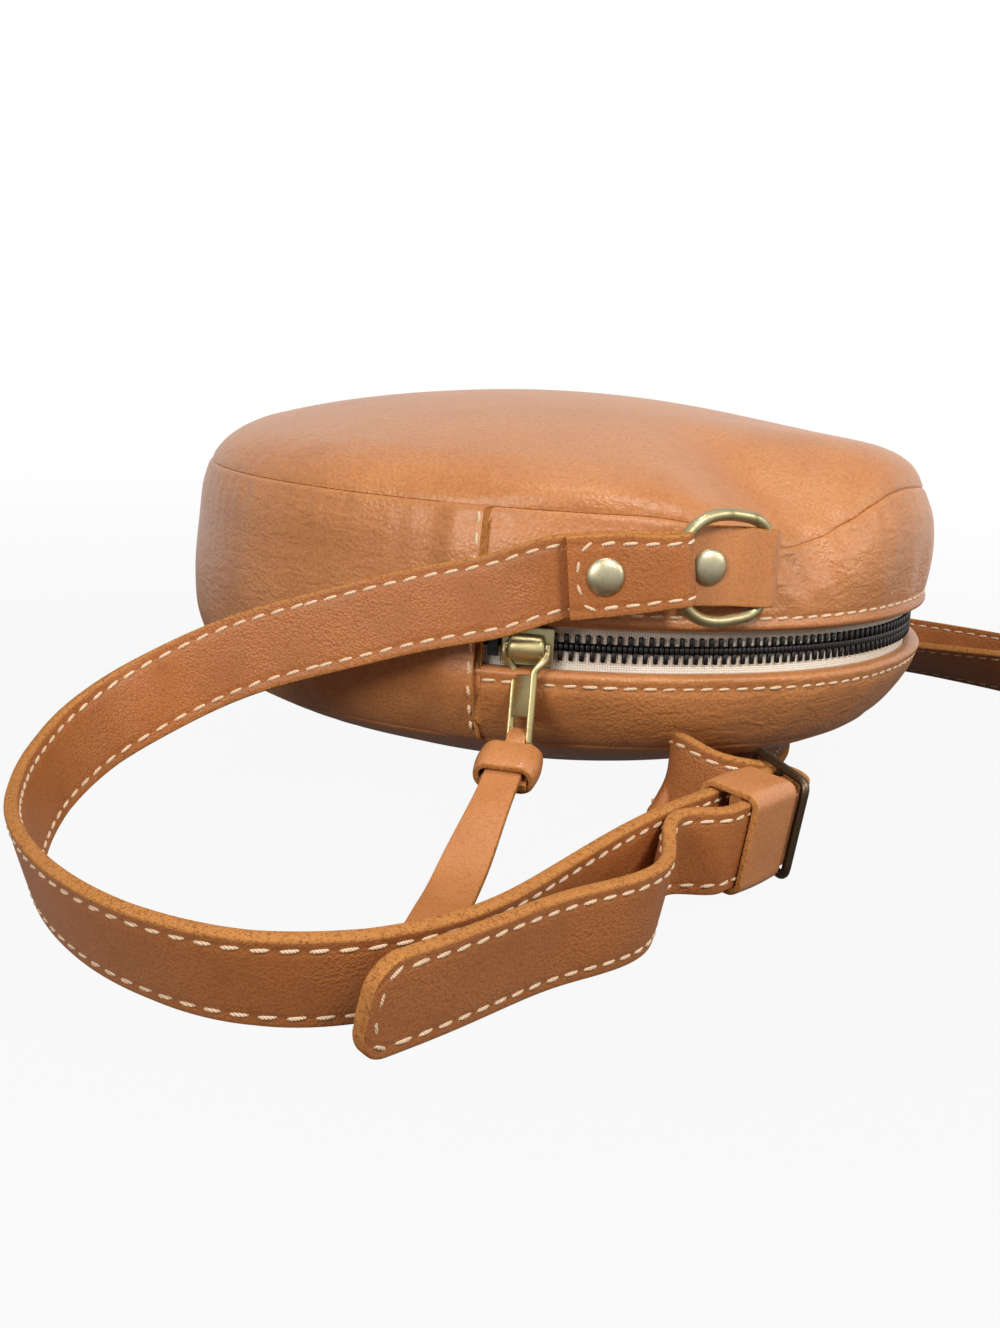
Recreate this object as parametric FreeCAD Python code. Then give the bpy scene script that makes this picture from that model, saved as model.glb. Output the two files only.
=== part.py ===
import FreeCAD, Part
import math
import os

Vector = FreeCAD.Vector
UP = Vector(0, 0, 1)
CENTRE = Vector(0, 0, 0)

# A round leather shoulder bag that lies on its back panel, millimetres.
# The bag's axis is Z through the origin, which is the middle of the face it lies on.
# Angles round the bag start at -Y and grow towards +X.

# Bag body
bag_radius = 100.0
leather = 1.8
back_bulge = 24.0
back_press = 2.0
front_bulge = 23.0
front_shoulder_radius = 35.0
front_rim_slope = 50.0
back_strip_height = 15.0
zip_opening = 10.0
front_strip_height = 26.0
seam_flange = 7.0
seam_gap = 0.2
lip_turn = 8.0
zip_panel_start = -10.0
zip_panel_end = 180.0
panel_lap = 10.0
lap_riser = 2.5
lap_gap = 0.15
lap_margin = 1.0

# Zip
tape_thickness = 0.8
tape_width = 14.0
tape_gap = 0.15
tooth_pitch = 2.4
tooth_width = 1.0
tooth_depth = 3.0
tooth_reach = 3.1
tooth_head = 0.9
tooth_gap = 0.06
teeth_end_margin = 6.0
stop_width = 2.2
stop_gap = 0.8

# Zip slider, pull and leather tab
slider_angle = -4.3
slider_length = 12.0
slider_height = 9.0
slider_plate = 1.3
slider_gap = 0.5
slider_rail = 0.8
slider_neck_length = 2.4
slider_neck_height = 1.2
bridge_length = 5.0
bridge_radius = 2.9
pin_radius = 1.0
pin_gap = 0.35
pin_rise = 0.25
pull_length = 22.0
pull_width = 8.4
pull_plate = 1.6
pull_prong = 1.1
pull_fork_depth = 6.0
pull_eye_radius = 1.3
pull_window_height = 4.6
pull_window_bar = 1.8
pull_rest_tilt = 12.0
tab_width = 10.6
tab_neck_width = 3.8
tab_leather = 1.5
tab_gap = 0.35
tab_tail_length = 50.0
tab_rest_length = 22.0
tab_slope = 24.0
tab_heading = -11.0
tab_short_layer = 15.0
band_height = 9.0
band_setback = 4.5
band_wall = 1.2

# Anchors: leather tab, ring and rivet on each side of the zip panel
left_anchor_angle = 21.0
right_anchor_angle = 149.0
anchor_height = 15.6
anchor_narrowing = 0.5
anchor_leather = 1.4
anchor_gap = 0.15
anchor_fold_reach = 8.3
anchor_end_reach = 10.5
anchor_rivet_reach = 5.5
anchor_ramp = 6.0
ring_wire_radius = 1.4
ring_gap = 0.2
ring_side_gap = 2.75
ring_depth = 24.5
ring_bar_corner = 3.0
ring_curve_corner = 6.0
ring_lift = 11.0
rivet_cap_radius = 4.1
rivet_cap_height = 1.8
rivet_post_radius = 1.5
rivet_back_thickness = 0.9
rivet_gap = 0.1

# Straps
strap_width = 18.5
strap_thickness = 2.6
ply_gap = 0.3
bar_clearance = 0.3
fold_length = 24.0
fold_rivet = 8.0
fold_pinch = 7.0
fold_clearance = 1.15
left_leave_heading = 186.0
left_leave_slope = 7.0
right_leave_heading = 164.0
right_leave_slope = 7.0
tail_round = 6.0
tail_round_angles = (30, 60, 85)

# Buckle and keeper
keeper_length = 17.0
keeper_wall = 1.3
keeper_room = 0.4
keeper_setback = 5.0
buckle_reach = 29.5
buckle_bar_radius = 0.8
buckle_wire = 2.0
buckle_depth = 10.0
buckle_room = 0.4
buckle_turn = 30.0
bend_start = 45.0
bend_steps = 8
joint_heading = 54.9
joint_lean = 8.0
joint_place_shares = (0.300, -1.456)
buckle_entry_shares = ((-0.005, 1.32), (-0.108, 0.946), (-0.043, 0.53))
stand_gap = 0.65

# The right strap's way into the buckle, as shares of the strap's width, is in buckle_entry_shares.
# Routes on the surface: x, y and lift as shares of the bag's radius, and the lean in degrees.
# Lean 0 stands on edge, 90 lies flat; the top edge leans to the right of travel.
left_strap_route_shares = (
    (-0.141, -1.065, 0.445, 6),
    (-0.271, -1.055, 0.410, 6),
    (-0.493, -1.030, 0.340, 7),
    (-0.719, -1.005, 0.257, 8),
    (-0.894, -1.025, 0.166, 9),
    (-1.000, -1.115, 0.100, 10),
    (-1.056, -1.290, 0.038, 12),
    (-1.035, -1.540, 0.0, 15),
    (-0.962, -1.762, 0.0, 18),
    (-0.847, -1.960, 0.0, 20),
    (-0.658, -2.148, 0.0, 22),
    (-0.464, -2.224, 0.0, 22),
    (-0.298, -2.188, 0.0, 21),
    (-0.180, -2.105, 0.0, 18),
    (-0.021, -1.877, 0.004, 13),
    (0.120, -1.660, 0.015, 10),
)
right_strap_route_shares = (
    (-0.040, 1.225, 0.395, -6),
    (-0.220, 1.310, 0.305, -7),
    (-0.335, 1.435, 0.200, -9),
    (-0.340, 1.585, 0.100, -11),
    (-0.225, 1.700, 0.025, -12),
    (-0.030, 1.740, 0.0, -12),
    (0.250, 1.715, 0.0, -12),
    (0.580, 1.625, 0.0, -12),
    (0.900, 1.490, 0.0, -14),
    (1.180, 1.335, 0.0, -18),
    (1.380, 1.200, 0.0, -16),
    (1.560, 1.050, 0.0, -12),
    (1.720, 0.920, 0.0, -10),
    (1.830, 0.830, 0.0, -14),
    (1.790, 0.745, 0.0, -22),
    (1.660, 0.795, 0.0, -32),
    (1.480, 0.950, 0.0, -42),
    (1.290, 1.115, 0.0, -50),
    (1.100, 1.205, 0.0, -58),
    (0.930, 1.160, 0.0, -66),
    (0.805, 0.990, 0.0, -74),
    (0.725, 0.740, 0.0, -82),
    (0.665, 0.450, 0.0, -87),
    (0.620, 0.160, 0.0, -89),
    (0.580, -0.130, 0.0, -89),
    (0.505, -0.400, 0.0, -86),
    (0.425, -0.640, 0.0, -76),
    (0.355, -0.860, 0.0, -46),
    (0.300, -0.990, 0.0, -20),
)
tail_route_shares = (
    (0.235, -1.545, 0.016, -8),
    (0.205, -1.660, 0.006, -10),
    (0.185, -1.770, 0.0, -11),
    (0.120, -1.870, 0.0, -12),
    (0.030, -1.955, 0.0, -12),
    (-0.065, -2.070, 0.0, -12),
    (-0.160, -2.195, 0.0, -12),
    (-0.240, -2.290, 0.0, -12),
)

# Levels and radii that follow from the sizes above
back_seam_z = back_bulge - back_press
zip_low_z = back_seam_z + back_strip_height
zip_high_z = zip_low_z + zip_opening
zip_mid_z = zip_low_z + zip_opening / 2
front_seam_z = zip_high_z + front_strip_height
gusset_low_z = back_seam_z + seam_gap / 2
gusset_high_z = front_seam_z - seam_gap / 2
front_top_z = front_seam_z + front_bulge
wall_radius = bag_radius - leather
lip_radius = bag_radius - 2 * leather
tape_outer = lip_radius - tape_gap
tape_inner = tape_outer - tape_thickness
tape_middle = (tape_outer + tape_inner) / 2
tooth_outer = tape_middle + tooth_depth / 2
tooth_inner = tape_middle - tooth_depth / 2
flange_radius = bag_radius - seam_flange
lap_angle = math.degrees(panel_lap / bag_radius)
riser_angle = math.degrees(lap_riser / bag_radius)


def polar(radius, angle, z):
    """Point at an angle round the bag."""
    turn = math.radians(angle)
    return Vector(radius * math.sin(turn), -radius * math.cos(turn), z)


def turned(shape, angle):
    """Copy of a shape that was drawn at the front of the bag, turned round the bag's axis."""
    copy = shape.copy()
    copy.rotate(CENTRE, UP, angle)
    return copy


def swept(face, start, end):
    """Solid that a face in the XZ half plane sweeps round the bag from one angle to another."""
    solid = face.revolve(CENTRE, UP, end - start)
    solid.rotate(CENTRE, UP, start - 90)
    return solid


def outline_face(points):
    """Flat face in the XZ half plane from radius and height pairs."""
    corners = [Vector(radius, 0, z) for radius, z in points]
    return Part.Face(Part.makePolygon(corners + corners[:1]))


def block(low, high):
    """Box between two opposite corners."""
    size = high - low
    return Part.makeBox(size.x, size.y, size.z, low)


def arc_about(centre, radius, first, last):
    """Arc in the XZ half plane between two angles counted from +X towards +Z."""
    def at(angle):
        turn = math.radians(angle)
        return Vector(centre[0] + radius * math.cos(turn), 0, centre[1] + radius * math.sin(turn))
    return Part.Arc(at(first), at((first + last) / 2), at(last)).toShape()


def closed_face(edges):
    """Face inside the edges, joined end to end by straight lines where they don't meet."""
    joined = []
    for edge, following in zip(edges, edges[1:] + edges[:1]):
        joined.append(edge)
        here = edge.lastVertex(True).Point
        there = following.firstVertex(True).Point
        if here.distanceToPoint(there) > seam_gap / 100:
            joined.append(Part.makeLine(here, there))
    return Part.Face(Part.Wire(joined))


def front_panel():
    """Domed front panel: a crown arc and a tighter shoulder arc, with the seam turned inwards."""
    rim_z = front_seam_z + seam_gap / 2
    slope = math.radians(front_rim_slope)
    shoulder = (
        bag_radius - front_shoulder_radius * math.sin(slope),
        rim_z - front_shoulder_radius * math.cos(slope),
    )
    fall = shoulder[1] - front_top_z
    crown_radius = (front_shoulder_radius ** 2 - shoulder[0] ** 2 - fall ** 2) / (
        2 * (fall + front_shoulder_radius)
    )
    crown = (0, front_top_z - crown_radius)
    meet = math.degrees(math.atan2(shoulder[1] - crown[1], shoulder[0]))
    inside_shoulder = front_shoulder_radius - leather
    rim = 90 - front_rim_slope
    inside_rim = math.degrees(math.asin((rim_z - shoulder[1]) / inside_shoulder))
    face = closed_face([
        arc_about(shoulder, front_shoulder_radius, rim, meet),
        arc_about(crown, crown_radius, meet, 90),
        arc_about(crown, crown_radius - leather, 90, meet),
        arc_about(shoulder, inside_shoulder, meet, inside_rim),
    ])
    inside_rim_radius = shoulder[0] + inside_shoulder * math.cos(math.radians(inside_rim))
    flange = outline_face([
        (flange_radius, rim_z),
        (inside_rim_radius, rim_z),
        (inside_rim_radius, rim_z + leather / 2),
        (flange_radius, rim_z + leather),
    ])
    dome = swept(face, 0, 360)
    return dome.fuse(swept(flange, 0, 360)).removeSplitter()


def back_panel():
    """Domed back panel, pressed flat in the middle where the bag lies on it."""
    rim_z = back_seam_z - seam_gap / 2
    crown_radius = (bag_radius ** 2 + back_bulge ** 2) / (2 * back_bulge)
    crown = (0, crown_radius - back_press)
    inside = crown_radius - leather

    def angle_at(radius, z):
        return -math.degrees(math.asin((crown[1] - z) / radius))

    face = closed_face([
        arc_about(crown, crown_radius, angle_at(crown_radius, 0), angle_at(crown_radius, rim_z)),
        arc_about(crown, inside, angle_at(inside, rim_z), angle_at(inside, leather)),
        Part.makeLine(Vector(0, 0, leather), CENTRE),
    ])
    return swept(face, 0, 360)


def base_gusset():
    """Gusset round the closed half, with both seams turned in and its ends lapped over the zip panel."""
    channel = outline_face([
        (bag_radius, gusset_low_z),
        (bag_radius, gusset_high_z),
        (flange_radius, gusset_high_z),
        (flange_radius, gusset_high_z - leather),
        (wall_radius, gusset_high_z - leather),
        (wall_radius, gusset_low_z + leather),
        (flange_radius, gusset_low_z + leather),
        (flange_radius, gusset_low_z),
    ])
    start = zip_panel_end + lap_angle
    end = 360 + zip_panel_start - lap_angle
    low = gusset_low_z + lap_margin
    high = gusset_high_z - lap_margin
    lap_inner = bag_radius + lap_gap
    lap_outer = lap_inner + leather
    lap = outline_face([(lap_inner, low), (lap_outer, low), (lap_outer, high), (lap_inner, high)])
    riser = outline_face([(wall_radius, low), (lap_outer, low), (lap_outer, high), (wall_radius, high)])
    trim = math.degrees(lap_gap / bag_radius)
    gusset = swept(channel, start + trim, end - trim)
    gusset = gusset.fuse([
        swept(riser, end - riser_angle, end - trim),
        swept(lap, end - riser_angle, end + lap_angle),
        swept(riser, start + trim, start + riser_angle),
        swept(lap, start - lap_angle, start + riser_angle),
    ])
    return gusset.removeSplitter()


def zip_strips():
    """The two leather strips of the zip panel, each with its seam and its zip edge turned in."""
    front = outline_face([
        (bag_radius, zip_high_z),
        (bag_radius, gusset_high_z),
        (flange_radius, gusset_high_z),
        (flange_radius, gusset_high_z - leather),
        (wall_radius, gusset_high_z - leather),
        (wall_radius, zip_high_z + lip_turn),
        (lip_radius, zip_high_z + lip_turn),
        (lip_radius, zip_high_z),
    ])
    back = outline_face([
        (bag_radius, gusset_low_z),
        (bag_radius, zip_low_z),
        (lip_radius, zip_low_z),
        (lip_radius, zip_low_z - lip_turn),
        (wall_radius, zip_low_z - lip_turn),
        (wall_radius, gusset_low_z + leather),
        (flange_radius, gusset_low_z + leather),
        (flange_radius, gusset_low_z),
    ])
    start = zip_panel_start - lap_angle
    end = zip_panel_end + lap_angle
    return swept(front, start, end), swept(back, start, end)


def zip_tape(side):
    """Woven tape along one lip; side is 1 next to the front panel and -1 next to the back panel."""
    near = zip_mid_z + side * (tooth_head + tooth_gap)
    far = zip_mid_z + side * tape_width
    face = outline_face([(tape_inner, near), (tape_outer, near), (tape_outer, far), (tape_inner, far)])
    return swept(face, zip_panel_start - lap_angle, zip_panel_end + lap_angle)


def clamped_piece(width, angle, side, reach, head):
    """Metal piece that grips one tape's edge with two legs, as a tooth or an end stop does."""
    slot_outer = tape_outer + tooth_gap
    slot_inner = tape_inner - tooth_gap
    near = zip_mid_z - side * head
    root = zip_mid_z + side * tooth_head
    far = zip_mid_z + side * reach
    face = outline_face([
        (tooth_inner, near),
        (tooth_outer, near),
        (tooth_outer, far),
        (slot_outer, far),
        (slot_outer, root),
        (slot_inner, root),
        (slot_inner, far),
        (tooth_inner, far),
    ])
    face.translate(Vector(0, -width / 2, 0))
    piece = face.extrude(Vector(0, width, 0))
    piece.rotate(CENTRE, UP, angle - 90)
    return piece


def teeth_angles():
    """First angle and step of the meshed teeth, which start behind the slider's neck."""
    step = math.degrees(tooth_pitch / tape_middle)
    first = slider_angle - math.degrees((slider_length / 2 - slider_neck_length - tooth_pitch) / tape_middle)
    last = zip_panel_end - math.degrees(teeth_end_margin / tape_middle)
    return first, step, int((last - first) / step)


def zip_teeth(side):
    """Row of teeth on one tape; the two rows lie half a pitch apart, so they mesh."""
    first, step, count = teeth_angles()
    shift = 0 if side > 0 else step / 2
    return Part.makeCompound([
        clamped_piece(tooth_width, first + shift + step * index, side, tooth_reach, tooth_head)
        for index in range(count)
    ])


def zip_stops():
    """Stop on each tape beyond the closed slider, and a pair at the far end of the teeth."""
    first, step, count = teeth_angles()
    beyond = slider_length / 2 + stop_gap + stop_width / 2
    closed_end = slider_angle - math.degrees(beyond / tape_middle)
    open_end = first + step * count + math.degrees(stop_width / tape_middle)
    return Part.makeCompound([
        clamped_piece(stop_width, angle, side, tooth_reach, -tooth_gap)
        for angle in (closed_end, open_end)
        for side in (1, -1)
    ])


tab_bar_place = pull_length - pull_window_bar / 2
pin_radius_place = tooth_outer + slider_gap + slider_plate + pin_rise + pin_radius + pin_gap


def zip_slider():
    """Two plates joined by a neck, with rails at their edges and a bridge that holds the pull's pin."""
    half_length = slider_length / 2
    half_height = slider_height / 2
    outer_face = tooth_outer + slider_gap
    outer_top = outer_face + slider_plate
    inner_face = tooth_inner - slider_gap
    inner_top = inner_face - slider_plate
    outer_rail = tape_outer + slider_gap
    inner_rail = tape_inner - slider_gap
    parts = [
        block(Vector(-half_length, -outer_top, -half_height), Vector(half_length, -outer_face, half_height)),
        block(Vector(-half_length, -inner_face, -half_height), Vector(half_length, -inner_top, half_height)),
        block(
            Vector(-half_length, -outer_top, -slider_neck_height / 2),
            Vector(-half_length + slider_neck_length, -inner_top, slider_neck_height / 2),
        ),
    ]
    for low in (-half_height, half_height - slider_rail):
        high = low + slider_rail
        parts.append(block(Vector(-half_length, -outer_top, low), Vector(half_length, -outer_rail, high)))
        parts.append(block(Vector(-half_length, -inner_rail, low), Vector(half_length, -inner_top, high)))
    along = Vector(1, 0, 0)
    bridge_end = Vector(-bridge_length / 2, -pin_radius_place, 0)
    hood = Part.makeCylinder(bridge_radius, bridge_length, bridge_end, along)
    hood = hood.fuse(block(
        Vector(-bridge_length / 2, -pin_radius_place, -bridge_radius),
        Vector(bridge_length / 2, -outer_face, bridge_radius),
    ))
    hood = hood.common(block(
        Vector(-bridge_length, -pin_radius_place - bridge_radius, -bridge_radius),
        Vector(bridge_length, -outer_face, bridge_radius),
    ))
    body = parts[0].fuse(parts[1:] + [hood])
    tunnel_start = bridge_end - along * bridge_length / 2
    tunnel = Part.makeCylinder(pin_radius + pin_gap, 2 * bridge_length, tunnel_start, along)
    body = body.cut(tunnel).removeSplitter()
    body.translate(Vector(0, 0, zip_mid_z))
    return turned(body, slider_angle)


def hung(shape):
    """Tilts a piece that was drawn hanging below the pull's pin, and puts it on the slider."""
    copy = shape.copy()
    copy.rotate(CENTRE, Vector(1, 0, 0), -pull_rest_tilt)
    copy.translate(Vector(0, -pin_radius_place, zip_mid_z))
    return turned(copy, slider_angle)


def zip_pull():
    """Forked pull: a pin between two prongs, a plate with raised side rails and a round bar at its foot."""
    half_width = pull_width / 2
    half_plate = pull_plate / 2
    shoulder = -pull_fork_depth
    foot = -tab_bar_place
    window_high = foot + pull_window_bar / 2 + pull_window_height
    plate = block(Vector(-half_width, -half_plate, foot), Vector(half_width, half_plate, shoulder))
    window_half = half_width - pull_prong
    window = block(
        Vector(-window_half, -pull_plate, foot - pull_plate), Vector(window_half, pull_plate, window_high)
    )
    panel = block(
        Vector(-window_half, -pull_plate, window_high + pull_prong),
        Vector(window_half, -half_plate / 2, shoulder - pull_prong),
    )
    pull = plate.cut([window, panel])
    along = Vector(1, 0, 0)
    pin = Part.makeCylinder(pin_radius, pull_width, Vector(-half_width, 0, 0), along)
    foot_bar = Part.makeCylinder(pull_window_bar / 2, pull_width, Vector(-half_width, 0, foot), along)
    pieces = [pin, foot_bar]
    for left in (-half_width, half_width - pull_prong):
        pieces.append(block(Vector(left, -half_plate, shoulder), Vector(left + pull_prong, half_plate, 0)))
        pieces.append(Part.makeCylinder(pull_eye_radius, pull_prong, Vector(left, 0, 0), along))
    return hung(pull.fuse(pieces).removeSplitter())


def ribbon(path, axes, widths, thickness):
    """Solid strip of leather along a path, with its widths along the given axes."""
    sections = []
    last = len(path) - 1
    for index, centre in enumerate(path):
        ahead = path[min(index + 1, last)] - path[max(index - 1, 0)]
        ahead.normalize()
        across = axes[index] - ahead * axes[index].dot(ahead)
        across.normalize()
        normal = ahead.cross(across)
        half = across * (widths[index] / 2)
        depth = normal * (thickness / 2)
        corners = [centre - half - depth, centre + half - depth, centre + half + depth, centre - half + depth]
        sections.append(Part.makePolygon(corners + corners[:1]))
    return Part.makeLoft(sections, True, True)


def along_spline(points, values, steps):
    """Points along a smooth curve through the given ones, and the vectors blended between them."""
    counts = [float(index) for index in range(len(points))]
    place = Part.BSplineCurve()
    place.interpolate(Points=points, Parameters=counts)
    places = []
    vectors = []
    for index in range((len(points) - 1) * steps + 1):
        at = index / steps
        low = min(int(at), len(values) - 2)
        places.append(place.value(at))
        vectors.append(values[low] + (values[low + 1] - values[low]) * (at - low))
    return places, vectors


def resting_height(lean):
    """Height of a strap's middle when its lower edge rests on the surface."""
    turn = math.radians(abs(lean))
    return (strap_width * math.cos(turn) + strap_thickness * math.sin(turn)) / 2 + stand_gap


def route_points(shares):
    """Middle points of a strap along its route."""
    return [
        Vector(x * bag_radius, y * bag_radius, resting_height(lean) + lift * bag_radius)
        for x, y, lift, lean in shares
    ]


def width_axis(ahead, lean):
    """Direction of a strap's width, leaning to the right of travel."""
    side = ahead.cross(UP)
    side.normalize()
    upright = side.cross(ahead)
    turn = math.radians(lean)
    return upright * math.cos(turn) + side * math.sin(turn)


def route_axes(points, shares):
    """Width direction at each point of a route."""
    axes = []
    last = len(points) - 1
    for index, share in enumerate(shares):
        ahead = points[min(index + 1, last)] - points[max(index - 1, 0)]
        ahead.normalize()
        axes.append(width_axis(ahead, share[3]))
    return axes


def heading_vector(heading, slope):
    """Unit vector at a heading counted from +X towards +Y, falling by a slope."""
    turn = math.radians(heading)
    fall = math.radians(slope)
    return Vector(math.cos(turn) * math.cos(fall), math.sin(turn) * math.cos(fall), -math.sin(fall))


def half_turn(centre, along, across, radius, steps=8):
    """Points round a fold, from +across to -across by way of along."""
    points = []
    for index in range(steps + 1):
        turn = math.pi * index / steps
        points.append(centre + across * (radius * math.cos(turn)) + along * (radius * math.sin(turn)))
    return points


# Anchor geometry, drawn at the front of the bag with the tab's fold on the +X side
anchor_mid_z = zip_high_z + anchor_height
anchor_width = strap_width - anchor_narrowing
ring_half_height = strap_width / 2 + ring_side_gap
anchor_layer = anchor_gap + anchor_leather
bar_out = anchor_layer + ring_gap + ring_wire_radius
fold_radius = ring_wire_radius + ring_gap + anchor_leather


def mirrored(shape, flip):
    """Mirror image across the YZ plane where flip is true."""
    return shape.mirror(CENTRE, Vector(1, 0, 0)) if flip else shape


def seated(shape, angle, flip):
    """Puts a piece drawn at the bag's surface on its anchor."""
    copy = mirrored(shape, flip)
    copy.translate(Vector(0, -bag_radius, anchor_mid_z))
    return turned(copy, angle)


def anchor_tab(angle, flip):
    """Leather tab folded round the ring's bar, its two layers riveted to the zip panel."""
    low = -anchor_width / 2
    inner_top = anchor_layer
    outer_low = inner_top + anchor_gap
    outer_top = outer_low + anchor_leather
    fold_top = bar_out + fold_radius
    throat = ring_wire_radius + ring_gap
    ramp_end = anchor_fold_reach - anchor_ramp

    def at(x, out):
        return Vector(x, -out, low)

    fold = at(anchor_fold_reach, bar_out)
    outer_arc = Part.Arc(
        at(anchor_fold_reach, fold_top), fold + Vector(fold_radius, 0, 0), at(anchor_fold_reach, anchor_gap)
    ).toShape()
    inner_arc = Part.Arc(
        at(anchor_fold_reach, inner_top), fold + Vector(throat, 0, 0), at(anchor_fold_reach, bar_out + throat)
    ).toShape()
    corners = [
        at(anchor_fold_reach, anchor_gap),
        at(-anchor_end_reach, anchor_gap),
        at(-anchor_end_reach, inner_top),
        at(anchor_fold_reach, inner_top),
    ]
    top = [
        at(anchor_fold_reach, bar_out + throat),
        at(ramp_end, outer_low),
        at(-anchor_end_reach, outer_low),
        at(-anchor_end_reach, outer_top),
        at(ramp_end, outer_top),
        at(anchor_fold_reach, fold_top),
    ]
    edges = [outer_arc]
    edges += [Part.makeLine(a, b) for a, b in zip(corners, corners[1:])]
    edges.append(inner_arc)
    edges += [Part.makeLine(a, b) for a, b in zip(top, top[1:])]
    tab = Part.Face(Part.Wire(edges)).extrude(Vector(0, 0, anchor_width))
    hole = Part.makeCylinder(
        rivet_post_radius + rivet_gap,
        2 * fold_top,
        Vector(-anchor_rivet_reach, fold_top, 0),
        Vector(0, -1, 0),
    )
    return seated(tab.cut(hole), angle, flip)


def anchor_rivet(angle, flip):
    """Domed cap, post and inner washer that clamp the tab to the zip panel."""
    seat = 2 * anchor_layer + anchor_gap
    reach = anchor_rivet_reach + rivet_cap_radius
    wall_drop = wall_radius - math.sqrt(wall_radius ** 2 - reach ** 2)
    return seated(rivet(-anchor_rivet_reach, seat, -leather - wall_drop), angle, flip)


def rivet(x, cap_seat, back_seat):
    """Rivet along -Y at x: its cap stands outside cap_seat, its washer inside back_seat."""
    cap_low = cap_seat + rivet_gap
    back_high = back_seat - rivet_gap
    back_low = back_high - rivet_back_thickness
    ball = (rivet_cap_radius ** 2 + rivet_cap_height ** 2) / (2 * rivet_cap_height)
    outward = Vector(0, -1, 0)
    dome = Part.makeSphere(ball, Vector(x, -(cap_low + rivet_cap_height - ball), 0))
    cap = dome.common(Part.makeCylinder(rivet_cap_radius, rivet_cap_height, Vector(x, -cap_low, 0), outward))
    post = Part.makeCylinder(rivet_post_radius, cap_low - back_low, Vector(x, -back_low, 0), outward)
    washer = Part.makeCylinder(rivet_cap_radius, rivet_back_thickness, Vector(x, -back_low, 0), outward)
    return cap.fuse([post, washer]).removeSplitter()


def ring_wire(closed_half, depth):
    """Middle line of the ring, with its straight bar on the +X side at x = 0."""
    bar_half = closed_half - ring_bar_corner
    curve_half = closed_half - ring_curve_corner
    diagonal = math.sqrt(0.5)

    def corner(centre_x, centre_z, radius, side_x, side_z):
        mid = Vector(centre_x + side_x * radius * diagonal, 0, centre_z + side_z * radius * diagonal)
        ends = (
            Vector(centre_x + side_x * radius, 0, centre_z),
            Vector(centre_x, 0, centre_z + side_z * radius),
        )
        return ends[0], mid, ends[1]

    edges = []
    bar_x = -ring_bar_corner
    curve_x = -depth + ring_curve_corner
    a0, a1, a2 = corner(bar_x, bar_half, ring_bar_corner, 1, 1)
    b0, b1, b2 = corner(curve_x, curve_half, ring_curve_corner, -1, 1)
    c0, c1, c2 = corner(curve_x, -curve_half, ring_curve_corner, -1, -1)
    d0, d1, d2 = corner(bar_x, -bar_half, ring_bar_corner, 1, -1)
    edges.append(Part.Arc(a0, a1, a2).toShape())
    edges.append(Part.makeLine(a2, b2))
    edges.append(Part.Arc(b2, b1, b0).toShape())
    edges.append(Part.makeLine(b0, c0))
    edges.append(Part.Arc(c0, c1, c2).toShape())
    edges.append(Part.makeLine(c2, d2))
    edges.append(Part.Arc(d2, d1, d0).toShape())
    edges.append(Part.makeLine(d0, a0))
    return Part.Wire(edges)


def d_ring(angle, flip):
    """Round wire ring with its straight bar in the tab's fold."""
    path = ring_wire(ring_half_height, ring_depth)
    start = path.Edges[-1].firstVertex(True).Point
    circle = Part.Wire(Part.makeCircle(ring_wire_radius, start, UP))
    ring = path.makePipeShell([circle], True, False)
    ring.rotate(CENTRE, UP, ring_lift)
    ring.translate(Vector(anchor_fold_reach, -bar_out, 0))
    return seated(ring, angle, flip)


def ring_curve_place(angle, flip):
    """Middle of the ring's curved side, where the strap is folded round it."""
    turn = math.radians(ring_lift)
    x = anchor_fold_reach - ring_depth * math.cos(turn)
    out = bar_out + ring_depth * math.sin(turn)
    if flip:
        x = -x
    point = Vector(x, -bag_radius - out, anchor_mid_z)
    spin = FreeCAD.Rotation(UP, angle)
    return spin.multVec(point)


def fold_slack(slope):
    """Room in a strap's fold for the ring's round corners and for the strap's slope."""
    corner_room = ring_curve_corner - ring_side_gap
    corner_drop = ring_curve_corner - math.sqrt(ring_curve_corner ** 2 - corner_room ** 2)
    return corner_drop + strap_width / 2 * math.tan(math.radians(slope))


def ring_fold(place, along, outward, slope):
    """Path of a strap's end: its riveted outer layer, the fold round the ring and the start of the strap."""
    ring_offset = ring_wire_radius + fold_clearance + strap_thickness / 2
    layer_offset = (strap_thickness + ply_gap) / 2
    half_pinch = fold_pinch / 2
    rivet_edge = fold_length - fold_rivet - rivet_cap_radius - rivet_gap
    outer = [
        place + along * fold_length + outward * layer_offset,
        place + along * rivet_edge + outward * layer_offset,
        place + along * fold_pinch + outward * (layer_offset + (ring_offset - layer_offset) / 5),
        place + along * half_pinch + outward * (ring_offset - (ring_offset - layer_offset) / 5),
    ]
    inner = [point - outward * (2 * (point - place).dot(outward)) for point in reversed(outer)]
    closed_end = place - along * fold_slack(slope)
    return outer + half_turn(closed_end, along * -1, outward, ring_offset) + inner


def strap_axes(along, outward):
    """Width direction of a strap that leaves its ring along a direction."""
    across = outward.cross(along)
    return across if across.z > 0 else across * -1


def leaving(angle, flip, heading, slope):
    """Ring place, leaving direction, outward direction and width direction of a strap."""
    place = ring_curve_place(angle, flip)
    along = heading_vector(heading, slope)
    outward = Vector(place.x, place.y, 0)
    outward = outward - along * outward.dot(along)
    outward.normalize()
    return place, along, outward, strap_axes(along, outward)


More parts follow.
